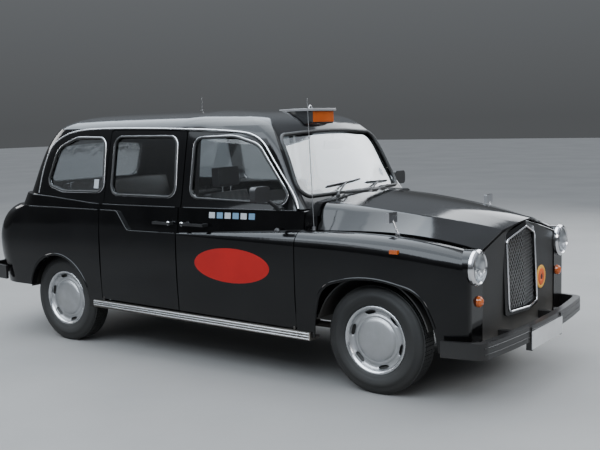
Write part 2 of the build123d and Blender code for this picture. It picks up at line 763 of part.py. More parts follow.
def make_towing_eyes():
    """Four plates with a bore, below the ends of the side members."""
    eyes = []
    for x, top, z in ((2048, 340, FRONT_EYE_Z), (-2032, 470, REAR_EYE_Z)):
        for y in (-320, 320):
            plate = block(x - 28, x + 28, y - EYE_T / 2, y + EYE_T / 2, z - 28, top)
            eyes.append(plate - rod_y(x, y - 20, y + 20, z, EYE_R))
    return eyes


def make_front_floor():
    """The flat floor with the tunnel over the gearbox."""
    floor = block(RISER_X, COWL_X, -800, 800, FLOOR_BOTTOM, FLOOR_TOP)
    floor = floor + block(-60, COWL_X, -150, 150, 400, 620)
    return floor - block(-50, 1000, -140, 140, 380, 610)


def make_rear_floor():
    """The riser below the bench, and the boot's floor between the wheelhouses."""
    riser = block(RISER_X - RISER_T, RISER_X, -800, 800, FLOOR_BOTTOM, BOOT_FLOOR_TOP)
    boot = block(-2060, RISER_X - RISER_T, -585, 585, BOOT_FLOOR_TOP - 10, BOOT_FLOOR_TOP)
    wide = [(-2060, -780, 240), (-2060, 780, 240), (-1720, 780, 0), (-1720, -780, 0)]
    return riser, boot + prism_z(wide, BOOT_FLOOR_TOP - 10, BOOT_FLOOR_TOP)


def make_sill(wing_solid):
    """Left sill with its flange up to the floor and the lower hinge pins of both doors."""
    sill = prism_y([(-905, 322, 0), (COWL_X + 105, 300, 0), (COWL_X + 105, 352, 0), (-905, 376, 0)], 760, SILL_FACE_Y)
    for x in (FRONT_HINGE_X, REAR_HINGE_X):
        sill = sill + rod_z(x, HINGE_Y, 340, sill_top(x) + HINGE_PIN_L - 2, HINGE_PIN_R)
    sill = sill + block(RISER_X, COWL_X, 795, 800, 340, FLOOR_BOTTOM)
    return sill - wing_solid - (flank_solid & block(-2400, REAR_SHUT_X + 25, 0, 1000, 200, 600))


def make_sill_trim():
    return prism_y([(-905, 334, 0), (COWL_X + 105, 302, 0), (COWL_X + 105, 350, 0), (-905, 374, 0)],
                   SILL_FACE_Y, SILL_FACE_Y + 5)


def make_rear_wheelhouse():
    outer_r = WHEELHOUSE_R + WHEELHOUSE_T
    house = rod_y(REAR_AXLE_X, 585, 830, HUB_Z, outer_r) - rod_y(REAR_AXLE_X, 593, 835, HUB_Z, WHEELHOUSE_R)
    return (house - block(-2000, -800, 500, 900, -200, 400)) & inside_tail


def make_posts():
    """The middle post behind the meeting edges of the left doors."""
    outline = [(682, FLOOR_TOP, 0), (787, FLOOR_TOP, 0), (763, 1090, 0), (664, 1601, 0), (632, 1601, 0),
               (728, 1090, 0), (737, 700, 0)]
    return prism_x(outline, POST_SHUT_X - 45, POST_SHUT_X + 35)


# Running gear
STUB_Y = 640


def wheel_profile():
    inner = STUB_Y - TRACK_HALF
    return [(inner, 34), (inner, 60), (-12, 70), (-6, 150), (-20, 186), (-62, 190), (-70, 198), (-70, 210), (-62, 210),
            (-58, RIM_R), (58, RIM_R), (62, 211), (72, 211), (74, 205), (66, 192), (50, 184), (34, 176), (22, 150),
            (34, 118), (46, 100), (54, 60), (58, 0), (0, 0), (0, HUB_BORE_R), (inner, HUB_BORE_R)]


def make_wheel():
    """Left wheel about the hub: barrel, disc with slots near the rim, domed middle and a blind bore."""
    wheel = turned_y(wheel_profile())
    slots = 6
    for i in range(slots):
        slot = Pos(0, 0, 160) * Rot(90, 0, 0) * extrude(SlotCenterToCenter(44, 17), 60, both=True)
        wheel = wheel - Rot(0, 360 / slots * i + 15, 0) * slot
    return wheel


def make_tyre():
    half = [(BEAD_Y, RIM_R + SEAT_GAP), (BEAD_Y + 4, RIM_R + 8 + SEAT_GAP), (76, RIM_R + 12), (80, 228),
            (TYRE_HALF_W, 268), (74, 318), (56, TYRE_R)]
    return turned_y([(-y, r) for y, r in half] + list(reversed(half)))


def make_knuckle():
    """Left knuckle: a post on the kingpin line and the stub that carries the wheel."""
    post = rod_z(FRONT_AXLE_X, KINGPIN_Y, 272, 402, 30)
    pins = rod_z(FRONT_AXLE_X, KINGPIN_Y, 252, 422, STEER_PIN_R)
    shoulder = rod_y(FRONT_AXLE_X, KINGPIN_Y, STUB_Y - 1, HUB_Z, 42)
    stub = rod_y(FRONT_AXLE_X, KINGPIN_Y, TRACK_HALF - 2, HUB_Z, HUB_SHAFT_R)
    return joined(post, pins, shoulder, stub)


def make_front_axle():
    """Cross beam under the rails with a forked end for each kingpin."""
    x0 = FRONT_AXLE_X - 38
    x1 = FRONT_AXLE_X + 38
    fork = block(x0, x1, 500, 545, 246, 428)
    for z0, z1 in ((246, 270), (404, 428)):
        lug = block(FRONT_AXLE_X - 32, FRONT_AXLE_X + 32, 500, KINGPIN_Y, z0, z1) + rod_z(
            FRONT_AXLE_X, KINGPIN_Y, z0, z1, 32)
        fork = fork + (lug - rod_z(FRONT_AXLE_X, KINGPIN_Y, z0 - 5, z1 + 5, STEER_PIN_R + RUN_GAP))
    beam = block(x0, x1, -545, 545, 285, 335)
    beam = beam + block(x0, x1, RAIL_IN, RAIL_OUT, 335, 340) + block(x0, x1, -RAIL_OUT, -RAIL_IN, 335, 340)
    return beam + fork + mirrored(fork)


SPRING_Y = 460


def make_rear_axle():
    """Axle tube, final drive, leaf springs with their hangers, and the propeller shaft."""
    axle = rod_y(REAR_AXLE_X, -632, 632, HUB_Z, 38) + rod_y(REAR_AXLE_X, -709, 709, HUB_Z, HUB_SHAFT_R)
    axle = axle + Pos(REAR_AXLE_X, 0, HUB_Z) * Sphere(125)
    spring = block(REAR_AXLE_X - 620, REAR_AXLE_X + 560, SPRING_Y - 28, SPRING_Y + 28, 376, 392)
    spring = spring + block(REAR_AXLE_X - 60, REAR_AXLE_X + 60, SPRING_Y - 32, SPRING_Y + 32, 340, 377)
    spring = spring + block(REAR_AXLE_X - 620, REAR_AXLE_X - 590, RAIL_OUT, SPRING_Y + 28, 376, 520)
    spring = spring + block(REAR_AXLE_X + 530, REAR_AXLE_X + 560, RAIL_OUT, SPRING_Y + 28, 330, 392)
    shaft = bar((REAR_AXLE_X + 60, 0, HUB_Z), (559, 0, 362), 30)
    return joined(axle, spring, mirrored(spring), shaft)


def make_engine():
    """Engine and gearbox as plain blocks on two mounts, and the radiator."""
    engine = block(1120, 1800, -235, 235, 420, 860) + block(560, 1125, -120, 120, 330, 560)
    engine = engine + block(1180, 1440, -120, 120, 300, 425)
    engine = engine + block(GEARBOX_SEAT_X - 20, GEARBOX_SEAT_X + 20, -60, 60, 310, 331)
    for y in (-200, 200):
        engine = engine + block(1460, 1500, y - 30, y + 30, 405, 425)
    return engine, block(2020, 2070, -236, 236, 410, 900)


def make_exhaust():
    pipe = rod_x(-2180, 1000, -220, 245, 22) + rod_x(-600, -100, -220, 245, 75)
    for x, top in ((-1900, 500), (-640, 330), (90, 330), (700, 330)):
        pipe = pipe + block(x - 8, x + 8, -RAIL_IN, -215, 245, top)
    return pipe


# Cabin fittings
STEER_CENTRE = (640, -380, 1005.5)
STEER_TILT = 59.1
STEER_BORE_R = 10


def make_dashboard():
    dash = prism_y([(780, 860, 20), (COWL_X, 860, 0), (COWL_X, 1046, 0), (850, 1085, 30), (780, 980, 30)], -640, 640)
    column = bar((850, -380, 880), (676, -380, 984), 24)
    return joined(dash, column, bar((700, -380, 969.7), STEER_CENTRE, STEER_BORE_R - RUN_GAP))


def make_steering_wheel():
    hub = Cylinder(42, 34) + Pos(0, 0, 19) * Cylinder(42, 6)
    wheel = joined(hub, Torus(195, 13), Box(372, 34, 9)) - Pos(0, 0, -15) * Cylinder(STEER_BORE_R, 60)
    return Pos(*STEER_CENTRE) * Rot(0, -STEER_TILT, 0) * wheel


def make_driver_seat():
    cushion = prism_y([(150, 600, 40), (640, 600, 60), (640, 740, 50), (150, 720, 40)], -630, -180)
    back = prism_y([(60, 640, 30), (170, 640, 30), (90, 1180, 50), (-20, 1180, 40)], -610, -200)
    head = prism_y([(0, 1210, 30), (90, 1210, 30), (80, 1360, 30), (-10, 1360, 30)], -520, -290)
    posts = (rod_z(42, -450, 1170, 1220, 7), rod_z(42, -360, 1170, 1220, 7))
    return joined(cushion, back, head, *posts, block(170, 600, -600, -200, FLOOR_TOP, 605))


def make_rear_bench():
    cushion = prism_y([(-1322, 610.3, 30), (-880, 610.3, 60), (-880, 790, 50), (-1322, 760, 40)], -580, 580)
    back = prism_y([(-1500, 610.3, 40), (-1332, 610.3, 40), (-1440, 1240, 60), (-1570, 1240, 50)], -560, 560)
    return cushion, back


PARTITION_VIEW = [(-590, 1110, 40), (590, 1110, 40), (530, 1590, 50), (-530, 1590, 50)]


def make_partition():
    lower = block(-86, -70, -640, 640, FLOOR_TOP, 1080)
    upper = prism_x([(-640, 1080, 0), (640, 1080, 0), (560, 1640, 60), (-560, 1640, 60)], -86, -70)
    return lower + (upper - prism_x(PARTITION_VIEW, -100, 0))


# Roof sign and rods
def make_roof_sign():
    housing = prism_z([(225, 0, 30), (480, 146, 120), (622, 150, 30), (640, 0, -0.5), (622, -150, 30),
                       (480, -146, 120)], 1640, 1746)
    hood = prism_z([(218, 0, 20), (470, 152, 130), (640, 158, 40), (668, 0, -0.5), (640, -158, 40),
                    (470, -152, 130)], 1742, 1756)
    housing = housing - block(520, 800, -132, 132, 1662, 1736)
    return joined(housing, hood) - level_stack(ROOF_CAP) - cabin_outer


def make_sign_lens():
    plan = [(520, -132, 0), (630, -132, 20), (648, 0, -0.5), (630, 132, 20), (520, 132, 0)]
    return prism_z(plan, 1662, 1736) - level_stack(ROOF_CAP)


def make_aerials(wing_solid):
    roof = rod_z(-525, 0, ROOF_Z, 1778, 14) + rod_z(-525, 0, 1770, 1878, 3)
    whip = (rod_z(1019, 720, 950, 1002, 12) - wing_solid) + bar((1019, 720, 996), (988, 720, 1813), 2.5)
    return roof, mirrored(whip)


def make_wing_mirror(wing_solid):
    foot = rod_z(1612, 690, 950, 990, 16) - wing_solid
    stalk = bar((1612, 690, 980), (1582, 700, 1060), 6)
    return joined(foot, stalk, Pos(1575, 702, 1082) * Box(22, 98, 60))


def make_door_mirror():
    """Left door mirror on a foot that stands on the ledge below the window."""
    foot = block(722, 778, 690, 752, BELT_Z, 1114) - cabin_outer
    arm = bar((750, 740, 1112), (728, 830, 1176), 12)
    head = prism_x([(812, 1160, 22), (968, 1160, 30), (968, 1262, 30), (812, 1262, 22)], 700, 745)
    return joined(foot, arm, head)


def make_handle(x0, x1):
    """A bar handle with two feet that stand on the door's side."""
    feet = [block(x, x + 26, 800, 872, 978, 996) - band for x in (x0, x1 - 26)]
    return joined(block(x0, x1, 866, 880, 978, 996), *feet)


os.makedirs("parts", exist_ok=True)

# Panels, doors and lids
front_door = make_door(front_door_outline(), FRONT_DOOR_WINDOW, FRONT_HINGE_X, 1, flank_front, inside_front)
rear_door = make_door(rear_door_outline(), REAR_DOOR_WINDOW, REAR_HINGE_X, -1, flank_tail, inside_tail)
save("door_front_left", front_door)
save("door_front_right", mirrored(front_door))
save("door_rear_left", rear_door)
save("door_rear_right", mirrored(rear_door))
save("windscreen_frame", make_windscreen_frame())
save("roof", make_roof())
wing_outside = make_wing_outside()
wing = make_wing(wing_outside)
save("front_wing_left", wing)
save("front_wing_right", mirrored(wing))
save("bonnet", make_bonnet())
save("cowl", make_cowl(wing_outside))
inner_wing = make_inner_wing()
house = make_rear_wheelhouse()
save("inner_panels", joined(make_nose(wing_outside), inner_wing, mirrored(inner_wing)), house, mirrored(house))
tail_high, tail_middle, tail_low = make_tail()
save("boot_lid", make_boot_lid())
tail_parts = (tail_low - prism_x(BOOT_OPENING, -2400, -1850), tail_middle, tail_high)
save("rear_panel", joined(tail_piece(tail_parts, -PANEL_Y, PANEL_Y), *make_boot_ears()))
quarter = tail_piece(tail_parts, PANEL_Y, 1000)
save("rear_quarter_left", quarter)
save("rear_quarter_right", mirrored(quarter))
post = make_posts()
save("door_posts", post, mirrored(post))

# Glass
quarter_glass = glass_layer & prism_y(QUARTER_WINDOW, 300, 1000)
save("fixed_glass", glass_layer & screen_cut, glass_layer & rear_cut, quarter_glass, mirrored(quarter_glass),
     prism_x(PARTITION_VIEW, -81, -75))
front_glass = glass_layer & prism_y(FRONT_DOOR_WINDOW, 560, 1000)
save("door_front_glass_left", front_glass)
save("door_front_glass_right", mirrored(front_glass))
rear_glass = glass_layer & prism_y(REAR_DOOR_WINDOW, 560, 1000)
save("door_rear_glass_left", rear_glass)
save("door_rear_glass_right", mirrored(rear_glass))

# Front and rear fittings
save("grille_surround", make_grille_surround())
save("grille_mesh", make_grille_mesh())
bezel = make_headlamp_bezel()
save("headlamp_bezels", bezel, mirrored(bezel))
lens = make_headlamp_lens()
save("headlamp_lenses", lens, mirrored(lens))
indicator = make_dome(*INDICATOR, 34, 30)
repeater = make_repeater(wing_outside)
save("amber_lenses", indicator, mirrored(indicator), repeater, mirrored(repeater), make_sign_lens())
rear_lamp = make_rear_lamp()
save("rear_lamps", rear_lamp, mirrored(rear_lamp))
save("front_bumper", make_front_bumper())
save("rear_bumper", make_rear_bumper())
save("front_plate", make_front_plate())
save("rear_plate", make_rear_plate())
save("roof_sign", make_roof_sign())
save("aerials", *make_aerials(wing_outside))
wing_mirror = make_wing_mirror(wing_outside)
save("wing_mirrors", wing_mirror, mirrored(wing_mirror))
trim = make_sill_trim()
save("sill_trims", trim, mirrored(trim))

# Door fittings
front_handle = make_handle(8, 216)
rear_handle = make_handle(-253, -86)
door_mirror = make_door_mirror()
save("door_front_fittings_left", front_handle, door_mirror)
save("door_front_fittings_right", mirrored(front_handle), mirrored(door_mirror))
save("door_rear_handle_left", rear_handle)
save("door_rear_handle_right", mirrored(rear_handle))

# Underbody and running gear
side_members = make_side_members()
right_members = [mirrored(member) for member in side_members]
save("chassis_frame", *side_members, *right_members, *make_cross_members(), *make_towing_eyes())
sill = make_sill(wing_outside)
save("floor_pan", make_front_floor(), *make_rear_floor(), sill, mirrored(sill))
save("engine", *make_engine(), make_exhaust())
save("front_axle", make_front_axle())
save("rear_axle", make_rear_axle())
knuckle = make_knuckle()
save("knuckle_left", knuckle)
save("knuckle_right", mirrored(knuckle))
tyre = make_tyre()
left_wheel = make_wheel()
right_wheel = mirrored(left_wheel)
for name, x, side in (("front_left", FRONT_AXLE_X, 1), ("front_right", FRONT_AXLE_X, -1),
                      ("rear_left", REAR_AXLE_X, 1), ("rear_right", REAR_AXLE_X, -1)):
    place = Pos(x, side * TRACK_HALF, HUB_Z)
    save("wheel_" + name, place * (left_wheel if side > 0 else right_wheel))
    save("tyre_" + name, place * tyre)

# Cabin
save("dashboard", make_dashboard())
save("steering_wheel", make_steering_wheel())
save("driver_seat", make_driver_seat())
save("rear_bench", *make_rear_bench())
save("partition", make_partition())
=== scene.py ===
import json
import math
import bmesh
import bpy
from mathutils import Matrix, Vector
from mathutils.bvhtree import BVHTree


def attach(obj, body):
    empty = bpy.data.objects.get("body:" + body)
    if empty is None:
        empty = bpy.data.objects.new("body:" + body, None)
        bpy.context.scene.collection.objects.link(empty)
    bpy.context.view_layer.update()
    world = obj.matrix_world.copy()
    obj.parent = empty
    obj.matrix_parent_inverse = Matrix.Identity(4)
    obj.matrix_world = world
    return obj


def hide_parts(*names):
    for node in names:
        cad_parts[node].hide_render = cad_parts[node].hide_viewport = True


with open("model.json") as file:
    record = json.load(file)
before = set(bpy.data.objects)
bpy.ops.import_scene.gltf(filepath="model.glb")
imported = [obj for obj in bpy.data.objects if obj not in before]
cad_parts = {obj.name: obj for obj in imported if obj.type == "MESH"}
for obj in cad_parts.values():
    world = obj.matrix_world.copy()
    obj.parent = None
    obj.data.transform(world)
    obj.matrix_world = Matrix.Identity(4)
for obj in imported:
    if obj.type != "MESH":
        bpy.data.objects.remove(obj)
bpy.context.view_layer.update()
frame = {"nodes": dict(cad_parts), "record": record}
nodes = frame["nodes"]

MM = 0.001
SIDES = (("left", 1), ("right", -1))


def linked(name, data):
    """A new object in the scene."""
    made = bpy.data.objects.new(name, data)
    bpy.context.scene.collection.objects.link(made)
    return made


# Camera, floor and light
CAMERA_PLACE = Vector((4.29627, -5.44324, 1.66858))
CAMERA_YAW = 0.621927
CAMERA_PITCH = 0.1131596
CAMERA_ROLL = -0.0237982
LENS_MM = 54.713
SENSOR_MM = 36
FLOOR_HALF = 60

# Each light's name, place, aim, size, power and colour, and whether it lights nothing but reflections
LIGHTS = [
    ("overhead_softbox", (0.3, 0.4, 6.2), (0.2, 0, 0.6), (8, 4), 140, (0.95, 0.98, 1), False),
    ("sky_panel", (-1, -2.4, 7), (-0.4, -1.8, 0.6), (20, 10), 3000, (0.8, 0.9, 1), True),
    ("side_softbox", (0.4, -6.8, 6.6), (0.3, 0, 0.8), (12, 4.2), 430, (0.84, 0.92, 1), False),
    ("front_softbox", (8, -1.6, 3.8), (1.5, 0, 0.6), (3, 1.6), 110, (1, 1, 1), False),
    ("far_softbox", (2.6, 7.4, 5.4), (0.4, 0, 1), (9, 4.4), 520, (0.92, 0.96, 1), False),
    ("rear_softbox", (-8, -1.5, 3.6), (-1.5, 0, 0.8), (3.5, 1.4), 90, (1, 1, 1), False),
]
# The colours of the surroundings, each with the height of its direction: 0 is level and 1 is overhead
SKY_BANDS = [(0, (0.11, 0.115, 0.12)), (0.16, (0.17, 0.18, 0.19)), (0.6, (0.8, 0.87, 0.96))]
SKY_STRENGTH = 0.8


def make_camera():
    level_part = math.cos(CAMERA_PITCH)
    ahead = Vector((-math.sin(CAMERA_YAW) * level_part, math.cos(CAMERA_YAW) * level_part,
                    -math.sin(CAMERA_PITCH)))
    level_right = Vector((math.cos(CAMERA_YAW), math.sin(CAMERA_YAW), 0))
    level_up = level_right.cross(ahead)
    right = level_right * math.cos(CAMERA_ROLL) + level_up * math.sin(CAMERA_ROLL)
    up = level_up * math.cos(CAMERA_ROLL) - level_right * math.sin(CAMERA_ROLL)
    camera = linked("photo_camera", bpy.data.cameras.new("photo_camera"))
    camera.data.lens = LENS_MM
    camera.data.sensor_width = SENSOR_MM
    camera.data.sensor_fit = "HORIZONTAL"
    facing = Matrix((right, up, -ahead)).transposed().to_4x4()
    camera.matrix_world = Matrix.Translation(CAMERA_PLACE) @ facing
    bpy.context.scene.camera = camera


def make_floor():
    bm = bmesh.new()
    bmesh.ops.create_grid(bm, x_segments=1, y_segments=1, size=FLOOR_HALF)
    floor = linked("floor", mesh_of("floor", bm))
    floor.data.materials.append(STUDIO_FLOOR)


def make_lights():
    for name, place, aim, size, power, colour, mirrored_only in LIGHTS:
        data = bpy.data.lights.new(name, "AREA")
        data.shape = "RECTANGLE"
        data.size, data.size_y = size
        data.energy = power
        data.color = colour
        light = linked(name, data)
        light.location = place
        light.rotation_euler = (Vector(aim) - Vector(place)).to_track_quat("-Z", "Y").to_euler()
        light.visible_diffuse = not mirrored_only
        light.visible_camera = False


def make_sky():
    """The studio's surroundings, dim at the horizon and pale blue overhead."""
    world = bpy.data.worlds.new("studio")
    world.use_nodes = True
    tree = world.node_tree
    tree.nodes.clear()
    coords = tree.nodes.new("ShaderNodeTexCoord")
    split = tree.nodes.new("ShaderNodeSeparateXYZ")
    ramp = tree.nodes.new("ShaderNodeValToRGB")
    ramp.color_ramp.elements.new(SKY_BANDS[1][0])
    for k, (height, colour) in enumerate(SKY_BANDS):
        ramp.color_ramp.elements[k].position = height
        ramp.color_ramp.elements[k].color = (*colour, 1)
    background = tree.nodes.new("ShaderNodeBackground")
    set_inputs(background, Strength=SKY_STRENGTH)
    out = tree.nodes.new("ShaderNodeOutputWorld")
    tree.links.new(coords.outputs["Generated"], split.inputs[0])
    tree.links.new(split.outputs["Z"], ramp.inputs["Fac"])
    tree.links.new(ramp.outputs["Color"], background.inputs["Color"])
    tree.links.new(background.outputs[0], out.inputs["Surface"])
    bpy.context.scene.world = world


# Shader nodes
NOISE_ROUGHNESS = 0.55
DUST_COLOUR = (0.19, 0.17, 0.14)
DUST_LOW_Z = 0.05
DUST_EVERYWHERE = 0.35
DUST_ROUGHNESS = 0.4
BUMP_STRENGTH = 0.6
SOLID_IOR = 1.5
GLASS_IOR = 1.48
COAT_ROUGHNESS = 0.03
SCREEN_COAT_IOR = 1.8


def set_inputs(node, **values):
    """Set a node's inputs to plain values, named with _ for each space."""
    for label, value in values.items():
        node.inputs[label.replace("_", " ")].default_value = value


def feed(tree, socket, value):
    """Give a socket a number or a colour, or link it to another node's output."""
    if isinstance(value, bpy.types.NodeSocket):
        tree.links.new(value, socket)
    elif isinstance(value, tuple):
        socket.default_value = (*value, 1)
    else:
        socket.default_value = value


def new_group(name, inputs, outputs):
    """An empty node group with number sockets, and its input and output nodes."""
    group = bpy.data.node_groups.new(name, "ShaderNodeTree")
    for label, value in inputs:
        socket = group.interface.new_socket(label, in_out="INPUT", socket_type="NodeSocketFloat")
        socket.default_value = value
    for label in outputs:
        group.interface.new_socket(label, in_out="OUTPUT", socket_type="NodeSocketFloat")
    return group, group.nodes.new("NodeGroupInput"), group.nodes.new("NodeGroupOutput")


def noise(tree, vector, scale, detail):
    node = tree.nodes.new("ShaderNodeTexNoise")
    set_inputs(node, Detail=detail, Roughness=NOISE_ROUGHNESS)
    feed(tree, node.inputs["Scale"], scale)
    feed(tree, node.inputs["Vector"], vector)
    return node.outputs["Fac"]


def remap(tree, value, low, high, to_low=0, to_high=1):
    """A value between low and high, moved to the same place between two other values."""
    node = tree.nodes.new("ShaderNodeMapRange")
    labels = ("Value", "From Min", "From Max", "To Min", "To Max")
    for label, amount in zip(labels, (value, low, high, to_low, to_high)):
        feed(tree, node.inputs[label], amount)
    return node.outputs["Result"]


def math_node(tree, kind, a, b):
    node = tree.nodes.new("ShaderNodeMath")
    node.operation = kind
    feed(tree, node.inputs[0], a)
    feed(tree, node.inputs[1], b)
    return node.outputs[0]


def blend_colours(tree, factor, a, b):
    node = tree.nodes.new("ShaderNodeMix")
    node.data_type = "RGBA"
    feed(tree, node.inputs[0], factor)
    for socket, value in zip([s for s in node.inputs if s.type == "RGBA"], (a, b)):
        feed(tree, socket, value)
    return [s for s in node.outputs if s.type == "RGBA"][0]


def make_road_dust_group():
    """Dust and dried spray: strongest near the ground and in patches. Puts out a mask."""
    group, given, result = new_group(
        "road_dust", [("Amount", 0.5), ("Fades At", 0.6), ("Patch Scale", 5)], ["Mask"])
    place = group.nodes.new("ShaderNodeTexCoord").outputs["Object"]
    split = group.nodes.new("ShaderNodeSeparateXYZ")
    group.links.new(place, split.inputs[0])
    near_ground = remap(group, split.outputs["Z"], DUST_LOW_Z, given.outputs["Fades At"], 1, 0)
    patches = remap(group, noise(group, place, given.outputs["Patch Scale"], 6), 0.35, 0.75)
    mask = math_node(group, "MULTIPLY", near_ground, math_node(group, "ADD", patches, DUST_EVERYWHERE))
    group.links.new(math_node(group, "MULTIPLY", mask, given.outputs["Amount"]), result.inputs["Mask"])
    return group


def make_surface_grain_group():
    """Fine unevenness for bump, and broad variation for colour and gloss."""
    group, given, result = new_group(
        "surface_grain", [("Grain Scale", 300), ("Broad Scale", 4)], ["Grain", "Broad"])
    place = group.nodes.new("ShaderNodeTexCoord").outputs["Object"]
    group.links.new(noise(group, place, given.outputs["Grain Scale"], 2), result.inputs["Grain"])
    group.links.new(noise(group, place, given.outputs["Broad Scale"], 5), result.inputs["Broad"])
    return group


ROAD_DUST = make_road_dust_group()
SURFACE_GRAIN = make_surface_grain_group()


def use_group(tree, group, **values):
    node = tree.nodes.new("ShaderNodeGroup")
    node.node_tree = group
    set_inputs(node, **values)
    return node


def new_material(name):
    """A material, its node tree and its shader."""
    material = bpy.data.materials.new(name)
    material.use_nodes = True
    return material, material.node_tree, material.node_tree.nodes["Principled BSDF"]


def finish(name, colour, second, roughness, metallic=0, coat=0, grain=300, broad=4, bump=0.0002,
           dust=0.3, dust_top=0.6, spread=0.1, specular=0.5):
    """A painted, moulded or metal finish with colour variation, road dust, uneven gloss and fine bump."""
    material, tree, shader = new_material(name)
    surface = use_group(tree, SURFACE_GRAIN, Grain_Scale=grain, Broad_Scale=broad)
    film = use_group(tree, ROAD_DUST, Amount=dust, Fades_At=dust_top).outputs["Mask"]
    patches = surface.outputs["Broad"]
    varied = blend_colours(tree, remap(tree, patches, 0.35, 0.65), colour, second)
    feed(tree, shader.inputs["Base Color"], blend_colours(tree, film, varied, DUST_COLOUR))
    gloss = remap(tree, patches, 0.3, 0.7, max(0, roughness - spread / 2), roughness + spread / 2)
    dulled = math_node(tree, "MULTIPLY", film, DUST_ROUGHNESS)
    feed(tree, shader.inputs["Roughness"], math_node(tree, "ADD", gloss, dulled))
    set_inputs(shader, Metallic=metallic, IOR=SOLID_IOR, Specular_IOR_Level=specular)
    if coat:
        clean = math_node(tree, "SUBTRACT", 1, film)
        feed(tree, shader.inputs["Coat Weight"], math_node(tree, "MULTIPLY", clean, coat))
        set_inputs(shader, Coat_Roughness=COAT_ROUGHNESS)
    fine = tree.nodes.new("ShaderNodeBump")
    set_inputs(fine, Distance=bump, Strength=BUMP_STRENGTH)
    feed(tree, fine.inputs["Height"], surface.outputs["Grain"])
    feed(tree, shader.inputs["Normal"], fine.outputs["Normal"])
    return material


def glass_material(name, tint, roughness=0.02, coat=0):
    """Glass with a faint unevenness of tint and gloss, and a mirroring coat where one is asked for."""
    material, tree, shader = new_material(name)
    broad = use_group(tree, SURFACE_GRAIN, Grain_Scale=60, Broad_Scale=3).outputs["Broad"]
    stronger = tuple(c * 0.94 for c in tint)
    feed(tree, shader.inputs["Base Color"], blend_colours(tree, broad, tint, stronger))
    feed(tree, shader.inputs["Roughness"], remap(tree, broad, 0.3, 0.7, roughness, roughness + 0.03))
    set_inputs(shader, Transmission_Weight=1, IOR=GLASS_IOR, Coat_Weight=coat, Coat_IOR=SCREEN_COAT_IOR)
    return material


# Materials of the outside, the glass and lamps, the inside, and the blank stickers and discs
STUDIO_FLOOR = finish("studio_floor", (0.4, 0.395, 0.385), (0.36, 0.356, 0.35), 0.85, grain=40, broad=0.6,
                      dust=0)
PAINT = finish("black_coachwork", (0.0022, 0.0022, 0.0026), (0.0045, 0.0045, 0.005), 0.09, grain=900,
               bump=0.00001, dust=0.05, dust_top=0.55, spread=0.05, specular=0.34)
SATIN = finish("satin_black_metal", (0.012, 0.012, 0.013), (0.022, 0.021, 0.02), 0.5, dust=0.6, grain=500)
PLASTIC = finish("moulded_black", (0.012, 0.012, 0.013), (0.02, 0.02, 0.021), 0.42, dust=0.2, grain=1400,
                 bump=0.0001)
BUMPER = finish("bumper_black", (0.007, 0.007, 0.008), (0.012, 0.012, 0.013), 0.3, dust=0.12, grain=1200,
                bump=0.00005)
# Black rubber for the seals and louvres; the same black serves as painted shade under the wheel covers'
# slots and in the sill trim's grooves
SEAL_AND_SHADE_BLACK = finish("seal_rubber_and_shade_black", (0.008, 0.008, 0.008), (0.013, 0.013, 0.013), 0.55, dust=0.1, grain=900,
              bump=0.0001)
RUBBER = finish("tyre_rubber", (0.01, 0.01, 0.01), (0.018, 0.018, 0.017), 0.66, dust=0.05, dust_top=0.7,
                grain=700, bump=0.0003)
CHROME = finish("chrome_plate", (0.8, 0.8, 0.81), (0.72, 0.72, 0.74), 0.07, metallic=1, dust=0.12,
                grain=200, bump=0.00001, spread=0.05)
BRIGHT_TRIM = finish("bright_trim", (0.78, 0.78, 0.79), (0.68, 0.68, 0.7), 0.24, metallic=0.85, dust=0.1)
TRIM = finish("sill_aluminium", (0.55, 0.52, 0.49), (0.46, 0.41, 0.36), 0.34, metallic=1, dust=0.35,
              broad=7)
GRILLE_METAL = finish("grille_metal", (0.5, 0.5, 0.5), (0.38, 0.38, 0.38), 0.34, metallic=0.9, dust=0.1)
SILVER = finish("wheel_silver", (0.5, 0.51, 0.53), (0.44, 0.45, 0.46), 0.33, metallic=0.75, dust=0.45,
                dust_top=0.9, broad=12)
RIM_METAL = finish("rim_metal", (0.66, 0.67, 0.69), (0.54, 0.55, 0.56), 0.22, metallic=1, dust=0.15,
                   dust_top=0.8, broad=14)
AERIAL_STEEL = finish("aerial_steel", (0.42, 0.42, 0.43), (0.34, 0.34, 0.35), 0.3, metallic=0.9, dust=0)
IRON = finish("oily_iron", (0.03, 0.029, 0.028), (0.06, 0.05, 0.042), 0.6, metallic=0.6, dust=0.5)
SIGN_GREY = finish("sign_grey", (0.36, 0.36, 0.37), (0.28, 0.28, 0.29), 0.4, dust=0)
WHITE_PLATE = finish("blank_white_plate", (0.78, 0.79, 0.8), (0.72, 0.73, 0.74), 0.35, dust=0.3)
YELLOW_PLATE = finish("blank_yellow_plate", (0.78, 0.55, 0.05), (0.7, 0.48, 0.04), 0.35, dust=0.3)

GLASS = glass_material("clear_glass", (0.93, 0.95, 0.95))
SCREEN_GLASS = glass_material("screen_glass", (0.9, 0.94, 0.96), coat=1)
FLUTED_GLASS = glass_material("fluted_glass", (0.97, 0.98, 0.99), 0.3)
MIRROR = finish("mirror_glass", (0.78, 0.8, 0.83), (0.7, 0.72, 0.76), 0.04, metallic=1, dust=0,
                spread=0.02)
LAMP_SILVER = finish("lamp_silver", (0.82, 0.83, 0.84), (0.74, 0.75, 0.77), 0.12, metallic=1, dust=0,
                     grain=60, bump=0.0004)
# Amber lens colour: partly the lenses' own amber, partly painted shade, made darker for the roof sign's lens
# that lies under its hood
AMBER = finish("amber_lens", (0.66, 0.13, 0.01), (0.52, 0.09, 0.008), 0.16, coat=0.5, dust=0.05)
RED_LENS = finish("red_lens", (0.45, 0.008, 0.006), (0.35, 0.005, 0.005), 0.18, coat=0.6, dust=0.1)

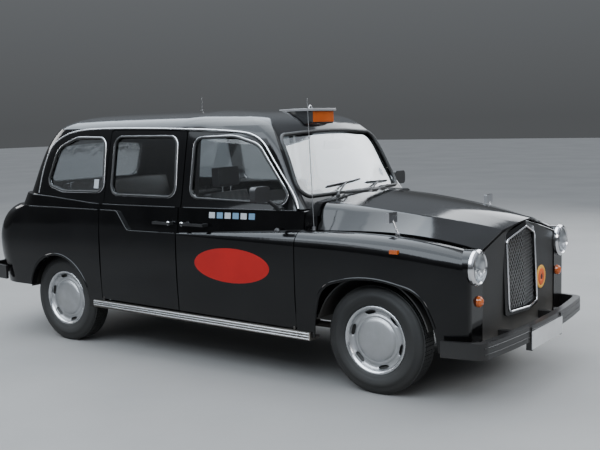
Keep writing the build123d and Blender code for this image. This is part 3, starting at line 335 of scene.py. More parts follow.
VINYL = finish("seat_vinyl", (0.02, 0.02, 0.022), (0.032, 0.031, 0.032), 0.45, dust=0, grain=900,
               bump=0.0004)
PIPING = finish("seat_piping", (0.012, 0.012, 0.012), (0.02, 0.02, 0.02), 0.5, dust=0)
DIAL = finish("dial_face", (0.02, 0.02, 0.022), (0.03, 0.03, 0.032), 0.15, coat=0.4, dust=0)

OVAL_RED = finish("oval_red", (0.52, 0.012, 0.01), (0.46, 0.01, 0.008), 0.5, dust=0.03, specular=0.3)
CREAM = finish("oval_rim", (0.6, 0.42, 0.26), (0.52, 0.36, 0.22), 0.35, dust=0.1)
PALE_PATCH = finish("pale_patch", (0.62, 0.66, 0.7), (0.55, 0.59, 0.64), 0.4, dust=0)
BLUE_PATCH = finish("blue_patch", (0.2, 0.36, 0.52), (0.16, 0.3, 0.45), 0.4, dust=0)
DISC_YELLOW = finish("disc_yellow", (0.95, 0.5, 0.06), (0.88, 0.44, 0.05), 0.5, dust=0)
DISC_ORANGE = finish("disc_orange", (0.85, 0.14, 0.015), (0.75, 0.11, 0.012), 0.5, dust=0)
DISC_HEART = finish("disc_heart", (0.1, 0.01, 0.01), (0.07, 0.008, 0.008), 0.4, dust=0.1)

FINISHES = {
    "gloss_paint": PAINT, "satin_black": SATIN, "black_plastic": PLASTIC, "bumper_black": BUMPER,
    "chrome": CHROME, "mesh_metal": TRIM, "aluminium_trim": TRIM, "wheel_silver": SILVER, "tyre": RUBBER,
    "clear_glass": GLASS, "amber_lens": AMBER, "red_lens": RED_LENS, "plate_white": WHITE_PLATE,
    "plate_yellow": YELLOW_PLATE, "seat_vinyl": VINYL, "cast_metal": IRON,
}


def dress_frame():
    """Give every carried-over node the finish of its slot in the record."""
    for part in frame["record"]["subparts"]:
        mesh = nodes[part["node"]].data
        mesh.materials.clear()
        mesh.materials.append(FINISHES[part["material_slot"]])
    nodes["fixed_glass"].data.materials[0] = SCREEN_GLASS
    nodes["aerials"].data.materials[0] = AERIAL_STEEL


# Mesh pieces
def mesh_of(name, bm):
    """A mesh made of a bmesh, which is used up."""
    mesh = bpy.data.meshes.new(name)
    bm.normal_update()
    bm.to_mesh(mesh)
    bm.free()
    return mesh


def new_piece(name, shape, material, body, smooth=False):
    """A piece of the cab made of a mesh or bmesh, with its material, riding on a body."""
    mesh = shape if isinstance(shape, bpy.types.Mesh) else mesh_of(name, shape)
    if smooth:
        mesh.shade_smooth()
    mesh.materials.append(material)
    piece = linked(name, mesh)
    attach(piece, body)
    return piece


def face_outwards(piece, side):
    """Turn a thin sheet on the left or right so that its faces look away from the cab."""
    if piece.data.polygons[0].normal.y * side < 0:
        piece.data.flip_normals()


def soften(bm, verts, factor):
    bmesh.ops.smooth_vert(bm, verts=verts, factor=factor, use_axis_x=True, use_axis_y=True,
                          use_axis_z=True)


def round_edges(bm, edges, radius, segments):
    bmesh.ops.bevel(bm, geom=edges, offset=radius, offset_type="OFFSET", segments=segments, profile=0.5,
                    affect="EDGES", material=-1)


# Finding the body's surface, so that trim sits on what carries it
def surface_of(*names):
    bm = bmesh.new()
    for name in names:
        bm.from_mesh(nodes[name].data)
    tree = BVHTree.FromBMesh(bm)
    bm.free()
    return tree


def first_hit(surface, start, direction, out):
    """Where a ray first meets a surface, moved off it by out, or None where it misses."""
    place, normal, _, _ = surface.ray_cast(Vector(start), Vector(direction))
    return place + normal.normalized() * out if place else None


def side_point(surface, x, z, side, out=0):
    """The outermost point of a surface at (x, z) on the left (side 1) or the right (side -1)."""
    return first_hit(surface, (x, side * 1.3, z), (0, -side, 0), out)


def end_point(surface, y, z, end, out=0):
    """The outermost point of a surface at (y, z) at the front (end 1) or the tail (end -1)."""
    return first_hit(surface, (end * 2.6, y, z), (-end, 0, 0), out)


def top_point(surface, x, y, out=0):
    return first_hit(surface, (x, y, 2.4), (0, 0, -1), out)


def side_line(surface, line, side, out=0):
    """A line of (x, z) points on one side of a surface, without those that miss it."""
    found = [side_point(surface, x, z, side, out) for x, z in line]
    return [p for p in found if p]


def end_line(surface, line, end, out=0):
    """A line of (y, z) points on a surface's front or tail, without those that miss it."""
    found = [end_point(surface, y, z, end, out) for y, z in line]
    return [p for p in found if p]


# Lines and outlines
def rounded(corners, steps=8):
    """Points along a closed outline of (u, v, radius) corners; a negative radius is a share of the side."""
    points = []
    count = len(corners)
    for i, (u, v, radius) in enumerate(corners):
        here = Vector((u, v))
        to_last = Vector(corners[i - 1][:2]) - here
        to_next = Vector(corners[(i + 1) % count][:2]) - here
        half = to_last.angle(to_next) / 2
        if radius < 0:
            radius = -radius * min(to_last.length, to_next.length) * math.tan(half)
        if radius < 1e-6:
            points.append(here)
            continue
        reach = radius / math.tan(half)
        back, ahead = to_last.normalized(), to_next.normalized()
        start = here + back * reach
        end = here + ahead * reach
        centre = here + (back + ahead).normalized() * (radius / math.sin(half))
        for k in range(steps + 1):
            chord = start.lerp(end, k / steps) - centre
            points.append(centre + chord.normalized() * radius)
    return points


def filled_in(points, longest):
    """The same closed line with no step longer than the given length."""
    result = []
    for a, b in zip(points, points[1:] + points[:1]):
        parts = max(1, math.ceil((b - a).length / longest))
        result += [a.lerp(b, k / parts) for k in range(parts)]
    return result


def smooth_line(points, steps=6):
    """A smooth line through points of two or three numbers."""
    line = [Vector(p) for p in points]
    ends = [line[0] * 2 - line[1]] + line + [line[-1] * 2 - line[-2]]
    result = []
    for i in range(1, len(ends) - 2):
        a, b, c, d = ends[i - 1:i + 3]
        for k in range(steps):
            t = k / steps
            result.append(0.5 * ((2 * b) + (c - a) * t + (2 * a - 5 * b + 4 * c - d) * t * t
                                 + (3 * b - a - 3 * c + d) * t ** 3))
    result.append(line[-1])
    return result


def grown(corners, amount):
    """An outline of corners moved outwards, so that a moulding lies on the panel and not in the opening."""
    centre = Vector((sum(c[0] for c in corners) / len(corners), sum(c[1] for c in corners) / len(corners)))
    result = []
    for u, v, radius in corners:
        away = (Vector((u, v)) - centre).normalized() * amount * 1.3
        result.append((u + away.x, v + away.y, radius + amount if radius > 0 else radius))
    return result


def in_metres(points):
    return [(p.x * MM, p.y * MM) for p in points]


def rectangle(u0, u1, v0, v1, radius, steps):
    return rounded([(u0, v0, radius), (u1, v0, radius), (u1, v1, radius), (u0, v1, radius)], steps)


def outline_of(corners, longest):
    """Close points in metres along a rounded outline in millimetres."""
    return in_metres(filled_in(rounded(corners), longest))


BEAD_SIDES = 3


def bead(name, points, radius, material, body, closed=False):
    """A moulding of round section along a line of points."""
    data = bpy.data.curves.new(name, "CURVE")
    data.dimensions = "3D"
    data.bevel_depth = radius
    data.bevel_resolution = BEAD_SIDES
    data.use_fill_caps = not closed
    spline = data.splines.new("POLY")
    spline.points.add(len(points) - 1)
    for place, point in zip(spline.points, points):
        place.co = (point.x, point.y, point.z, 1)
    spline.use_cyclic_u = closed
    curve = linked(name + "_line", data)
    bpy.context.view_layer.update()
    mesh = bpy.data.meshes.new_from_object(curve)
    bpy.data.objects.remove(curve)
    mesh.name = name
    new_piece(name, mesh, material, body, smooth=True)


# Turned and moulded pieces
def turned(name, profile, centre, along, material, body, steps=48, closed=False):
    """Spin (distance along the axis, radius) points in millimetres about an axis through centre."""
    centre = Vector(centre)
    along = Vector(along).normalized()
    outward = along.orthogonal().normalized()
    bm = bmesh.new()
    verts = [bm.verts.new(centre + along * (a * MM) + outward * (r * MM)) for a, r in profile]
    edges = [bm.edges.new(pair) for pair in zip(verts, verts[1:])]
    if closed:
        edges.append(bm.edges.new((verts[-1], verts[0])))
    bmesh.ops.spin(bm, geom=verts + edges, cent=centre, axis=along, angle=math.tau, steps=steps,
                   use_merge=True)
    bmesh.ops.remove_doubles(bm, verts=bm.verts, dist=1e-6)
    bmesh.ops.recalc_face_normals(bm, faces=bm.faces)
    return new_piece(name, bm, material, body, smooth=True)


def soft_box(name, low, high, radius, material, body, place=None):
    """A moulded block with rounded edges between two corners, turned into place by a matrix."""
    low = Vector(low)
    high = Vector(high)
    bm = bmesh.new()
    bmesh.ops.create_cube(bm, size=1)
    bmesh.ops.scale(bm, vec=high - low, verts=bm.verts)
    bmesh.ops.translate(bm, vec=(low + high) / 2, verts=bm.verts)
    round_edges(bm, bm.edges[:], radius, 3)
    if place:
        bmesh.ops.transform(bm, matrix=place, verts=bm.verts)
    new_piece(name, bm, material, body, smooth=True)


# Window seals and drip rails
# Outlines are in millimetres, (x, z, radius) on the sides and (y, z, radius) at the ends
FRONT_DOOR_WINDOW = [
    (36, 1568, 55), (350, 1571, 300), (545, 1512, 160), (806, 1172, 46), (745, 1140, 40), (36, 1166, 60),
]
REAR_DOOR_WINDOW = [(-748, 1582, 62), (-140, 1580, 62), (-112, 1166, 62), (-742, 1170, 62)]
QUARTER_WINDOW = [
    (-868, 1574, 60), (-1180, 1574, 190), (-1385, 1502, 150), (-1478, 1228, 50), (-1290, 1184, 60),
    (-842, 1184, 55),
]
SCREEN_VIEW = [
    (-628, 1180, 70), (0, 1196, -0.5), (628, 1180, 70), (572, 1574, 70), (0, 1600, -0.6), (-572, 1574, 70),
]
REAR_VIEW = [(-510, 1215, 80), (510, 1215, 80), (470, 1512, 90), (0, 1536, -0.6), (-470, 1512, 90)]
# Each side window's name, panel, outline and body
SIDE_WINDOWS = [
    ("front", "door_front_", FRONT_DOOR_WINDOW, "front_door_"),
    ("rear", "door_rear_", REAR_DOOR_WINDOW, "rear_door_"),
    ("quarter", "rear_quarter_", QUARTER_WINDOW, "cab"),
]
# The lines round a side window: how far outside the opening they lie, and their radius
SIDE_SEALS = (("rubber", 5, 9, SEAL_AND_SHADE_BLACK), ("bead", 13, 3.9, BRIGHT_TRIM))
END_SEAL_OUT = 8
SEAL_STEP = 40
SEAL_LIFT = 0.001
# The bright drip rail from the quarter's base over the doors to the screen post's base
DRIP_RAIL = [
    (-1576, 1154), (-1550, 1335), (-1491, 1491), (-1386, 1576), (-1219, 1628), (-941, 1647), (-417, 1643),
    (57, 1629), (385, 1606), (505, 1579), (590, 1525), (681, 1408), (817, 1216), (886, 1108),
]
DRIP_RAIL_R = 0.0055
DRIP_RAIL_LIFT = 0.004


def window_seal(name, surface, corners, side, body):
    """A black rubber seal with a thin bright bead along it, on one side's window."""
    for label, out, radius, material in SIDE_SEALS:
        line = outline_of(grown(corners, out), SEAL_STEP)
        points = side_line(surface, line, side, SEAL_LIFT)
        bead(f"{name}_{label}", points, radius * MM, material, body, closed=True)


def end_seal(name, surface, corners, end, radius):
    line = outline_of(grown(corners, END_SEAL_OUT), SEAL_STEP)
    bead(name, end_line(surface, line, end, SEAL_LIFT), radius * MM, SEAL_AND_SHADE_BLACK, "cab", closed=True)


def make_window_trim():
    for label, side in SIDES:
        for place, node, corners, body in SIDE_WINDOWS:
            panel = surface_of(node + label)
            rider = body if body == "cab" else body + label
            window_seal(f"{place}_window_{label}", panel, corners, side, rider)
    end_seal("screen_rubber", surface_of("windscreen_frame", "roof", "cowl"), SCREEN_VIEW, 1, 13)
    end_seal("rear_screen_rubber", surface_of("rear_panel", "roof"), REAR_VIEW, -1, 12)


def make_drip_rails():
    line = in_metres(smooth_line(DRIP_RAIL))
    for label, side in SIDES:
        shell = surface_of("roof", "windscreen_frame", "rear_quarter_" + label, "door_front_" + label,
                           "door_rear_" + label)
        points = side_line(shell, line, side, DRIP_RAIL_LIFT)
        bead("drip_rail_" + label, points, DRIP_RAIL_R, BRIGHT_TRIM, "cab")


# The plain red ovals on the front doors
OVAL_CENTRE = (0.447, 0.731)
OVAL_HALF = (0.32, 0.1155)
OVAL_CORNERS = 72
# How far each ring of the oval's mesh lies inside the one before, as a share of its half width
OVAL_INSETS = (0.045, 0.12, 0.12, 0.12, 0.12, 0.12)
OVAL_RIM_START = 0.96
STICKER_LIFT = 0.0006


def make_door_ovals():
    """A thin sticker that follows each front door: an oval with a pale rim."""
    for label, side in SIDES:
        door = surface_of("door_front_" + label)
        bm = bmesh.new()
        bmesh.ops.create_circle(bm, cap_ends=True, segments=OVAL_CORNERS, radius=1)
        for inset in OVAL_INSETS:
            middle = [f for f in bm.faces if len(f.verts) == OVAL_CORNERS]
            bmesh.ops.inset_region(bm, faces=middle, thickness=inset, use_even_offset=True)
        bmesh.ops.poke(bm, faces=[f for f in bm.faces if len(f.verts) == OVAL_CORNERS])
        for face in bm.faces:
            face.material_index = 0 if face.calc_center_median().length > OVAL_RIM_START else 1
            face.smooth = True
        for vert in bm.verts:
            x = OVAL_CENTRE[0] + vert.co.x * OVAL_HALF[0]
            z = OVAL_CENTRE[1] + vert.co.y * OVAL_HALF[1]
            vert.co = side_point(door, x, z, side, STICKER_LIFT)
        bmesh.ops.recalc_face_normals(bm, faces=bm.faces)
        oval = new_piece("door_oval_" + label, bm, CREAM, "front_door_" + label)
        oval.data.materials.append(OVAL_RED)
        face_outwards(oval, side)


# Grille
GRILLE_INNER = [(-222, 480, 18), (222, 480, 18), (220, 912, 30), (0, 978, 40), (-220, 912, 30)]
GRILLE_MIDDLE_Z = 0.72
MESH_PITCH = 0.024
MESH_WIRE = 0.0026
WIRE_ANGLE = 35
WIRE_LENGTH = 1.1
WIRES_EACH_WAY = 34
CROSSING_DEPTH = 0.0012


def grille_face_x(y, z):
    """The mesh is creased at the middle and leans back."""
    return (2.1375 - abs(y) * 0.04 / 0.3) - (z - 0.452) * math.tan(math.radians(2.6))


def cut_flat(bm, place, normal, keep_inner):
    """Cut a flat mesh along a line, and drop what lies outside it where asked."""
    bmesh.ops.bisect_plane(bm, geom=bm.verts[:] + bm.edges[:] + bm.faces[:], plane_co=place, plane_no=normal,
                           clear_outer=keep_inner)


def make_grille():
    """Two layers of crossing wires, made flat, cut to the opening and bent to the grille's face."""
    bm = bmesh.new()
    for turn, depth in ((WIRE_ANGLE, CROSSING_DEPTH), (-WIRE_ANGLE, -CROSSING_DEPTH)):
        tilt = Matrix.Rotation(math.radians(turn), 3, "Z")
        for k in range(-WIRES_EACH_WAY, WIRES_EACH_WAY + 1):
            wire = bmesh.ops.create_grid(bm, x_segments=1, y_segments=24, size=0.5)["verts"]
            bmesh.ops.scale(bm, vec=(MESH_WIRE, WIRE_LENGTH, 1), verts=wire)
            bmesh.ops.translate(bm, vec=(k * MESH_PITCH, 0, depth), verts=wire)
            bmesh.ops.rotate(bm, cent=(0, 0, 0), matrix=tilt, verts=wire)
    bmesh.ops.translate(bm, vec=(0, GRILLE_MIDDLE_Z, 0), verts=bm.verts)
    outline = rounded(GRILLE_INNER, 3)
    for a, b in zip(outline, outline[1:] + outline[:1]):
        along = (b - a).normalized()
        cut_flat(bm, (a.x * MM, a.y * MM, 0), (along.y, -along.x, 0), True)
    cut_flat(bm, (0, 0, 0), (1, 0, 0), False)
    bmesh.ops.solidify(bm, geom=bm.faces[:], thickness=MESH_WIRE)
    for vert in bm.verts:
        y, z, depth = vert.co
        vert.co = Vector((grille_face_x(y, z) + depth, y, z))
    bmesh.ops.recalc_face_normals(bm, faces=bm.faces)
    lattice = new_piece("grille_lattice", bm, GRILLE_METAL, "cab")
    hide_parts("grille_mesh")


def make_grille_bead():
    """The chrome bead round the opening; where it meets no surround it follows the mesh."""
    rim = surface_of("grille_surround")
    points = []
    for y, z in outline_of(grown(GRILLE_INNER, 6), 30):
        spot = end_point(rim, y, z, 1, 0.002)
        points.append(spot or Vector((grille_face_x(y, z) + 0.016, y, z)))
    bead("grille_bead", points, 0.0065, CHROME, "cab", closed=True)


# Wheels and tyres
REAR_AXLE_X = -1.315
FRONT_AXLE_X = 1.495
TRACK_HALF = 0.711
HUB_Z = 0.337
WHEELS = [
    ("front_left", FRONT_AXLE_X, 1), ("front_right", FRONT_AXLE_X, -1),
    ("rear_left", REAR_AXLE_X, 1), ("rear_right", REAR_AXLE_X, -1),
]
# One flank of the tyre, from the bead to the shoulder, and the edges of the tread's ribs
TYRE_FLANK = [
    (58, 203.4), (62, 211.5), (76, 215), (80, 228), (82.5, 238), (85, 241), (86.4, 266), (87, 269),
    (85.5, 285), (82.5, 288), (79.5, 303), (74, 318), (66, 327),
]
TREAD_EDGES = [60, 40, 36.5, 14.5, 11, -11, -14.5, -36.5, -40, -60]
GROOVE_R = 330.5
FLANK_TOP_R = 0.327
RIB_LOW_R = 0.3285
RIB_LEAST_W = 0.012
BLOCK_HEIGHT = 0.006
BLOCK_GAP = 0.0016
TREAD_BLOCKS = 78


def axle_distance(place, axle_x):
    return math.hypot(place.x - axle_x, place.z - HUB_Z)


def face_radius(face, axle_x):
    return axle_distance(face.calc_center_median(), axle_x)


def is_rib(face, axle_x):
    """Whether a face of the tyre is the outside of one of the tread's ribs, and not a groove's side."""
    across = [v.co.y for v in face.verts]
    wide = max(across) - min(across) > RIB_LEAST_W
    return wide and face_radius(face, axle_x) > RIB_LOW_R


def make_tyres():
    profile = TYRE_FLANK + [(y, GROOVE_R) for y in TREAD_EDGES] + [(-y, r) for y, r in reversed(TYRE_FLANK)]
    for label, x, side in WHEELS:
        tyre = turned("treaded_tyre_" + label, profile, (x, side * TRACK_HALF, HUB_Z), (0, 1, 0), RUBBER,
                      "roadwheel_" + label, TREAD_BLOCKS, closed=True)
        bm = bmesh.new()
        bm.from_mesh(tyre.data)
        ribs = [f for f in bm.faces if is_rib(f, x)]
        bmesh.ops.inset_individual(bm, faces=ribs, thickness=BLOCK_GAP, depth=BLOCK_HEIGHT,
                                   use_even_offset=True)
        for face in bm.faces:
            face.smooth = face not in ribs and face_radius(face, x) < FLANK_TOP_R
        bm.to_mesh(tyre.data)
        bm.free()
        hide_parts("tyre_" + label)


# The pressed cover of each wheel, as points out from the wheel's middle plane and radii
WHEEL_COVER = [
    (73, 0), (72.6, 30), (71.2, 60), (68.6, 90), (65, 112), (61, 125), (55, 133), (50.6, 136),
    (50.4, 139), (51.4, 142), (51, 148), (48.5, 153), (45.5, 158), (44.6, 162), (44.9, 168), (46.2, 174),
    (49, 180), (54.8, 185), (65, 190), (70, 193.5), (74, 197.5), (77, 202), (78.2, 206), (77.5, 210.5),
    (74, 213.5),
]
COVER_STEPS = 96
COVER_SLOTS = 6
COVER_THICK = 0.0012
SLOT_START = 45
# Half the slot's angle in degrees in each band of radii
SLOT_BANDS = [(162, 168, 7.5), (168, 180, 11.25), (180, 185, 7.5)]
# A black ring under each cover's slots, as points out from the wheel's middle plane and radii: painted
# shade, so that the slots look dark like the shaded wheel behind them
SLOT_SHADE_RING = [(25, 152), (31, 164), (36.8, 176), (44.2, 180.5), (50.6, 183.6)]
BRIGHT_RIM_R = 0.189


def in_slot(face, axle_x):
    middle = face.calc_center_median()
    radius = face_radius(face, axle_x)
    angle = math.degrees(math.atan2(middle.z - HUB_Z, middle.x - axle_x)) - SLOT_START
    spacing = 360 / COVER_SLOTS
    off = abs((angle + spacing / 2) % spacing - spacing / 2)
    return any(r0 * MM < radius < r1 * MM and off < half for r0, r1, half in SLOT_BANDS)


def make_wheel_covers():
    for label, x, side in WHEELS:
        hub = (x, side * TRACK_HALF, HUB_Z)
        body = "roadwheel_" + label
        cover = turned("wheel_cover_" + label, WHEEL_COVER, hub, (0, side, 0), SILVER, body, COVER_STEPS)
        cover.data.materials.append(RIM_METAL)
        bm = bmesh.new()
        bm.from_mesh(cover.data)
        bmesh.ops.delete(bm, geom=[f for f in bm.faces if in_slot(f, x)], context="FACES")
        slot_edges = [v for v in bm.verts if v.is_boundary and axle_distance(v.co, x) < BRIGHT_RIM_R]
        soften(bm, slot_edges, 0.4)
        soften(bm, slot_edges, 0.4)
        middle_face = min(bm.faces, key=lambda f: face_radius(f, x))
        if middle_face.normal.y * side < 0:
            bmesh.ops.reverse_faces(bm, faces=bm.faces)
        for face in bm.faces:
            face.material_index = 1 if face_radius(face, x) > BRIGHT_RIM_R else 0
        bmesh.ops.solidify(bm, geom=bm.faces[:], thickness=COVER_THICK)
        bm.to_mesh(cover.data)
        bm.free()
        # The black ring under the slots is painted shade
        turned("slot_shade_ring_" + label, SLOT_SHADE_RING, hub, (0, side, 0), SEAL_AND_SHADE_BLACK, body, 72)


# Headlamps: a silvered dish and a thin fluted front glass
HEADLAMP_X = 2.108
HEADLAMP_Y = 0.675
HEADLAMP_Z = 0.813
LAMP_DISH = [(20, 83.5), (12, 74), (6, 58), (2.5, 38), (1.5, 18), (1.5, 0)]
LAMP_FRONT = [(19, 83.8), (27, 76), (35, 58), (41, 32), (43.5, 0), (41.5, 0), (39, 31), (33, 57), (25, 74),
              (19, 80)]


def make_headlamps():
    for label, side in SIDES:
        centre = (HEADLAMP_X, side * HEADLAMP_Y, HEADLAMP_Z)
        turned("headlamp_dish_" + label, LAMP_DISH, centre, (1, 0, 0), LAMP_SILVER, "cab", 64)
        glass = turned("headlamp_glass_" + label, LAMP_FRONT, centre, (1, 0, 0), FLUTED_GLASS, "cab", 96)
        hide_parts("headlamp_lenses")


# Seats: crowned cushions with sewn channels and piped edges
CUSHION_CUTS = 27
CROWN = 0.3
CHANNEL_DEPTH = 0.008
# The share of a cushion's half width that has channels
SEWN_SHARE = 0.9
WELT_LIFT = 0.8
WELT_IN = 0.012
WELT_R = 0.0045


def leaned(x, y, z, degrees):
    return Matrix.Translation((x, y, z)) @ Matrix.Rotation(math.radians(degrees), 4, "Y")


# Each pad's name, size (depth, width, thickness), place, number of channels, fill and node that it replaces
SEAT_PIECES = [
    ("driver_cushion", (0.48, 0.44, 0.132), leaned(0.395, -0.405, 0.665, -2), 5, 0.75, "driver_seat"),
    ("driver_backrest", (0.53, 0.4, 0.104), leaned(0.072, -0.405, 0.91, 81.5), 5, 0.7, "driver_seat"),
    ("driver_headrest", (0.14, 0.225, 0.08), leaned(0.037, -0.405, 1.285, 86), 0, 0.8, "driver_seat"),
    ("bench_cushion", (0.436, 1.15, 0.15), leaned(-1.101, 0, 0.692, -3.5), 12, 0.75, "rear_bench"),
    ("bench_backrest", (0.6, 1.11, 0.13), leaned(-1.468, 0, 0.922, 79.5), 12, 0.7, "rear_bench"),
]


def make_cushion(name, size, place, channels, replaced):
    """A padded block about its middle: crowned, drawn in at its sides and sewn in channels on its top."""
    depth, width, thick = size
    bm = bmesh.new()
    bmesh.ops.create_cube(bm, size=2)
    bmesh.ops.subdivide_edges(bm, edges=bm.edges[:], cuts=CUSHION_CUTS, use_grid_fill=True)
    for vert in bm.verts:
        u, v, w = vert.co
        pull = 1 - CROWN * (0.42 * abs(u) ** 5 + 0.42 * abs(v) ** 5)
        side_pull = 1 - 0.035 * (1 - abs(w) ** 2 * 0.2) * (1 - max(abs(u), abs(v)) ** 8)
        z = w * thick / 2 * pull
        if w > 0.5 and channels and abs(v) < SEWN_SHARE:
            phase = (v / SEWN_SHARE * 0.5 + 0.5) * channels
            z -= CHANNEL_DEPTH * math.exp(-((phase - round(phase)) * 9) ** 2) * (1 - abs(u) ** 12)
        vert.co = (u * depth / 2 * side_pull, v * width / 2 * side_pull, z)
    for _ in range(3):
        soften(bm, [v for v in bm.verts if abs(v.co.x) > depth * 0.44 or abs(v.co.y) > width * 0.46], 0.5)
    bmesh.ops.transform(bm, matrix=place, verts=bm.verts)
    bmesh.ops.recalc_face_normals(bm, faces=bm.faces)
    piece = new_piece(name, bm, VINYL, "cab", smooth=True)
    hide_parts(replaced)


def make_welt(name, size, place):
    """The piping sewn round a cushion's upper edge."""
    u, v = size[0] / 2 - WELT_IN, size[1] / 2 - WELT_IN
    outline = filled_in(rectangle(-u, u, -v, v, 0.05, 6), 0.06)
    points = [place @ Vector((p.x, p.y, size[2] / 2 * WELT_LIFT)) for p in outline]
    bead(name + "_welt", points, WELT_R, PIPING, "cab", closed=True)


def make_seats():
    for name, size, place, channels, fill, replaced in SEAT_PIECES:
        make_cushion(name, size, place, channels, replaced)
        make_welt(name, size, place)
    soft_box("driver_seat_base", (0.175, -0.595, 0.408), (0.595, -0.205, 0.6), 0.012, SATIN, "cab")
    for label, y in (("right", -0.45), ("left", -0.36)):
        post = [Vector((0.046, y, 1.13)), Vector((0.04, y, 1.25))]
        bead("headrest_post_" + label, post, 0.006, CHROME, "cab")


# Wipers and the cowl. Each wiper has its pivot and the (y, z) of its blade's two ends
WIPERS = [
    ("right", (0.985, -0.38), (-0.345, 1.226), (0.048, 1.252)),
    ("left", (1.03, -0.037), (0.12, 1.226), (0.47, 1.212)),
]
BLADE_STEPS = 8
WIPER_PIVOT = [(-6, 13), (12, 13), (20, 10), (26, 0)]
LOUVRES = 14


def make_wipers():
    glass = surface_of("fixed_glass", "windscreen_frame")
    cowl = surface_of("cowl")
    for label, pivot, (y0, z0), (y1, z1) in WIPERS:
        shares = [k / BLADE_STEPS for k in range(BLADE_STEPS + 1)]
        line = [(y0 + (y1 - y0) * t, z0 + (z1 - z0) * t) for t in shares]
        blade = end_line(glass, line, 1, 0.007)
        bead("wiper_blade_" + label, blade, 0.006, PLASTIC, "cab")
        spine = [p + Vector((0.01, 0, 0.004)) for p in blade[1:-1]]
        bead("wiper_spine_" + label, spine, 0.0026, PLASTIC, "cab")
        foot = top_point(cowl, *pivot)
        knee = foot.lerp(blade[4], 0.45) + Vector((0.016, 0, 0.026))
        arm = [foot + Vector((0, 0, 0.02)), knee, spine[3] + Vector((0.004, 0, 0.003))]
        bead("wiper_arm_" + label, smooth_line(arm, 8), 0.0058, PLASTIC, "cab")
        turned("wiper_pivot_" + label, WIPER_PIVOT, foot, (0.1, 0, 1), PLASTIC, "cab", 24)


def make_cowl_vent():
    """Two rows of dark louvres that follow the cowl in front of the screen."""
    cowl = surface_of("cowl")
    for label, side in reversed(SIDES):
        bm = bmesh.new()
        for k in range(LOUVRES):
            y = side * (0.17 + k * 0.022)
            x = 1.012 - abs(y) * 0.055
            verts = bmesh.ops.create_grid(bm, x_segments=4, y_segments=1, size=0.5)["verts"]
            bmesh.ops.scale(bm, vec=(0.03, 0.01, 1), verts=verts)
            bmesh.ops.translate(bm, vec=(x, y, 0), verts=verts)
            for vert in verts:
                vert.co = top_point(cowl, vert.co.x, vert.co.y, 0.0008)
        new_piece("cowl_louvres_" + label, bm, SEAL_AND_SHADE_BLACK, "cab")


# Small pieces inside
DIALS = (("speed", -0.45), ("engine", -0.31))
DIAL_PROFILE = [(0, 0), (0, 36), (6, 40), (9, 36), (4, 32), (4, 0)]


def make_interior():
    soft_box("interior_mirror", (-0.009, -0.118, -0.032), (0.009, 0.118, 0.032), 0.008, PLASTIC, "cab",
             leaned(0.7, 0, 1.5, 12))
    stalk = [Vector((0.69, 0, 1.575)), Vector((0.704, 0, 1.515))]
    bead("interior_mirror_stalk", stalk, 0.007, PLASTIC, "cab")
    soft_box("instrument_hood", (0.79, -0.56, 1.07), (0.9, -0.2, 1.132), 0.018, PLASTIC, "cab")
    for label, y in DIALS:
        turned("dial_" + label, DIAL_PROFILE, (0.792, y, 1.098), (-1, 0, 0), DIAL, "cab", 32)
    soft_box("fare_meter", (0.8, 0.01, 1.075), (0.88, 0.15, 1.125), 0.007, PLASTIC, "cab")
    soft_box("meter_window", (0.7975, 0.025, 1.088), (0.801, 0.135, 1.112), 0.0012, DIAL, "cab")


# Blank stickers
PATCH_STARTS = [0.222, 0.286, 0.35, 0.414, 0.478, 0.542]
PATCH_W = 0.048
GLASS_STICKER_LIFT = 0.0008
SCREEN_DISC = (0.462, 1.282)
SCREEN_DISC_R = 0.03


def make_patch(name, surface, low, high, out, material, body):
    """A plain thin sticker that follows the right side, between two (x, z) corners."""
    bm = bmesh.new()
    bmesh.ops.create_grid(bm, x_segments=8, y_segments=6, size=0.5)
    for vert in bm.verts:
        x = low[0] + (vert.co.x + 0.5) * (high[0] - low[0])
        z = low[1] + (vert.co.y + 0.5) * (high[1] - low[1])
        vert.co = side_point(surface, x, z, -1, out)
    face_outwards(new_piece(name, bm, material, body), -1)


def make_patches():
    door = surface_of("door_front_right")
    for k, x0 in enumerate(PATCH_STARTS):
        make_patch(f"blank_patch_{k}", door, (x0, 1.034), (x0 + PATCH_W, 1.074), STICKER_LIFT,
                   (PALE_PATCH, BLUE_PATCH)[k % 2], "front_door_right")
    glass = surface_of("fixed_glass")
    make_patch("blank_window_label", glass, (-0.955, 1.205), (-0.905, 1.272), GLASS_STICKER_LIFT, PALE_PATCH,
               "cab")
    bm = bmesh.new()
    bmesh.ops.create_circle(bm, cap_ends=True, segments=32, radius=SCREEN_DISC_R)
    for vert in bm.verts:
        y, z = SCREEN_DISC[0] + vert.co.x, SCREEN_DISC[1] + vert.co.y
        vert.co = end_point(glass, y, z, 1, GLASS_STICKER_LIFT)
    new_piece("blank_screen_disc", bm, PALE_PATCH, "cab")


# The plain disc beside the grille: each ring's inner and outer radius and its height
DISC_CENTRE = (2.102, 0.352, 0.606)
DISC_RINGS = [
    ("outer", 56, 77, 5, DISC_YELLOW), ("middle", 17, 57, 7, DISC_ORANGE), ("heart", 0, 18, 9, DISC_HEART),
]


def make_nose_disc():
    for label, r0, r1, height, material in DISC_RINGS:
        crown = height + (1 if r0 else 2)
        profile = [(0, r1), (height - 2, r1), (height, r1 - 2), (crown, (r0 + r1) / 2), (height, r0)]
        if r0:
            profile.append((0, r0))
        turned("nose_disc_" + label, profile, DISC_CENTRE, (1, 0, 0), material, "cab")


# Door buttons and mirrors
HANDLE_BUTTONS = [("front_door", 0.02), ("rear_door", -0.106)]
BUTTON_PROFILE = [(-12, 0), (-12, 15), (3, 15), (6, 12), (7.5, 0)]
BUTTON_Y = 0.872
BUTTON_Z = 0.988
HINGE_PLUG = (0.792, 0.972)
PLUG_PROFILE = [(-4, 0), (-4, 22), (3, 21), (7, 14), (9, 0)]


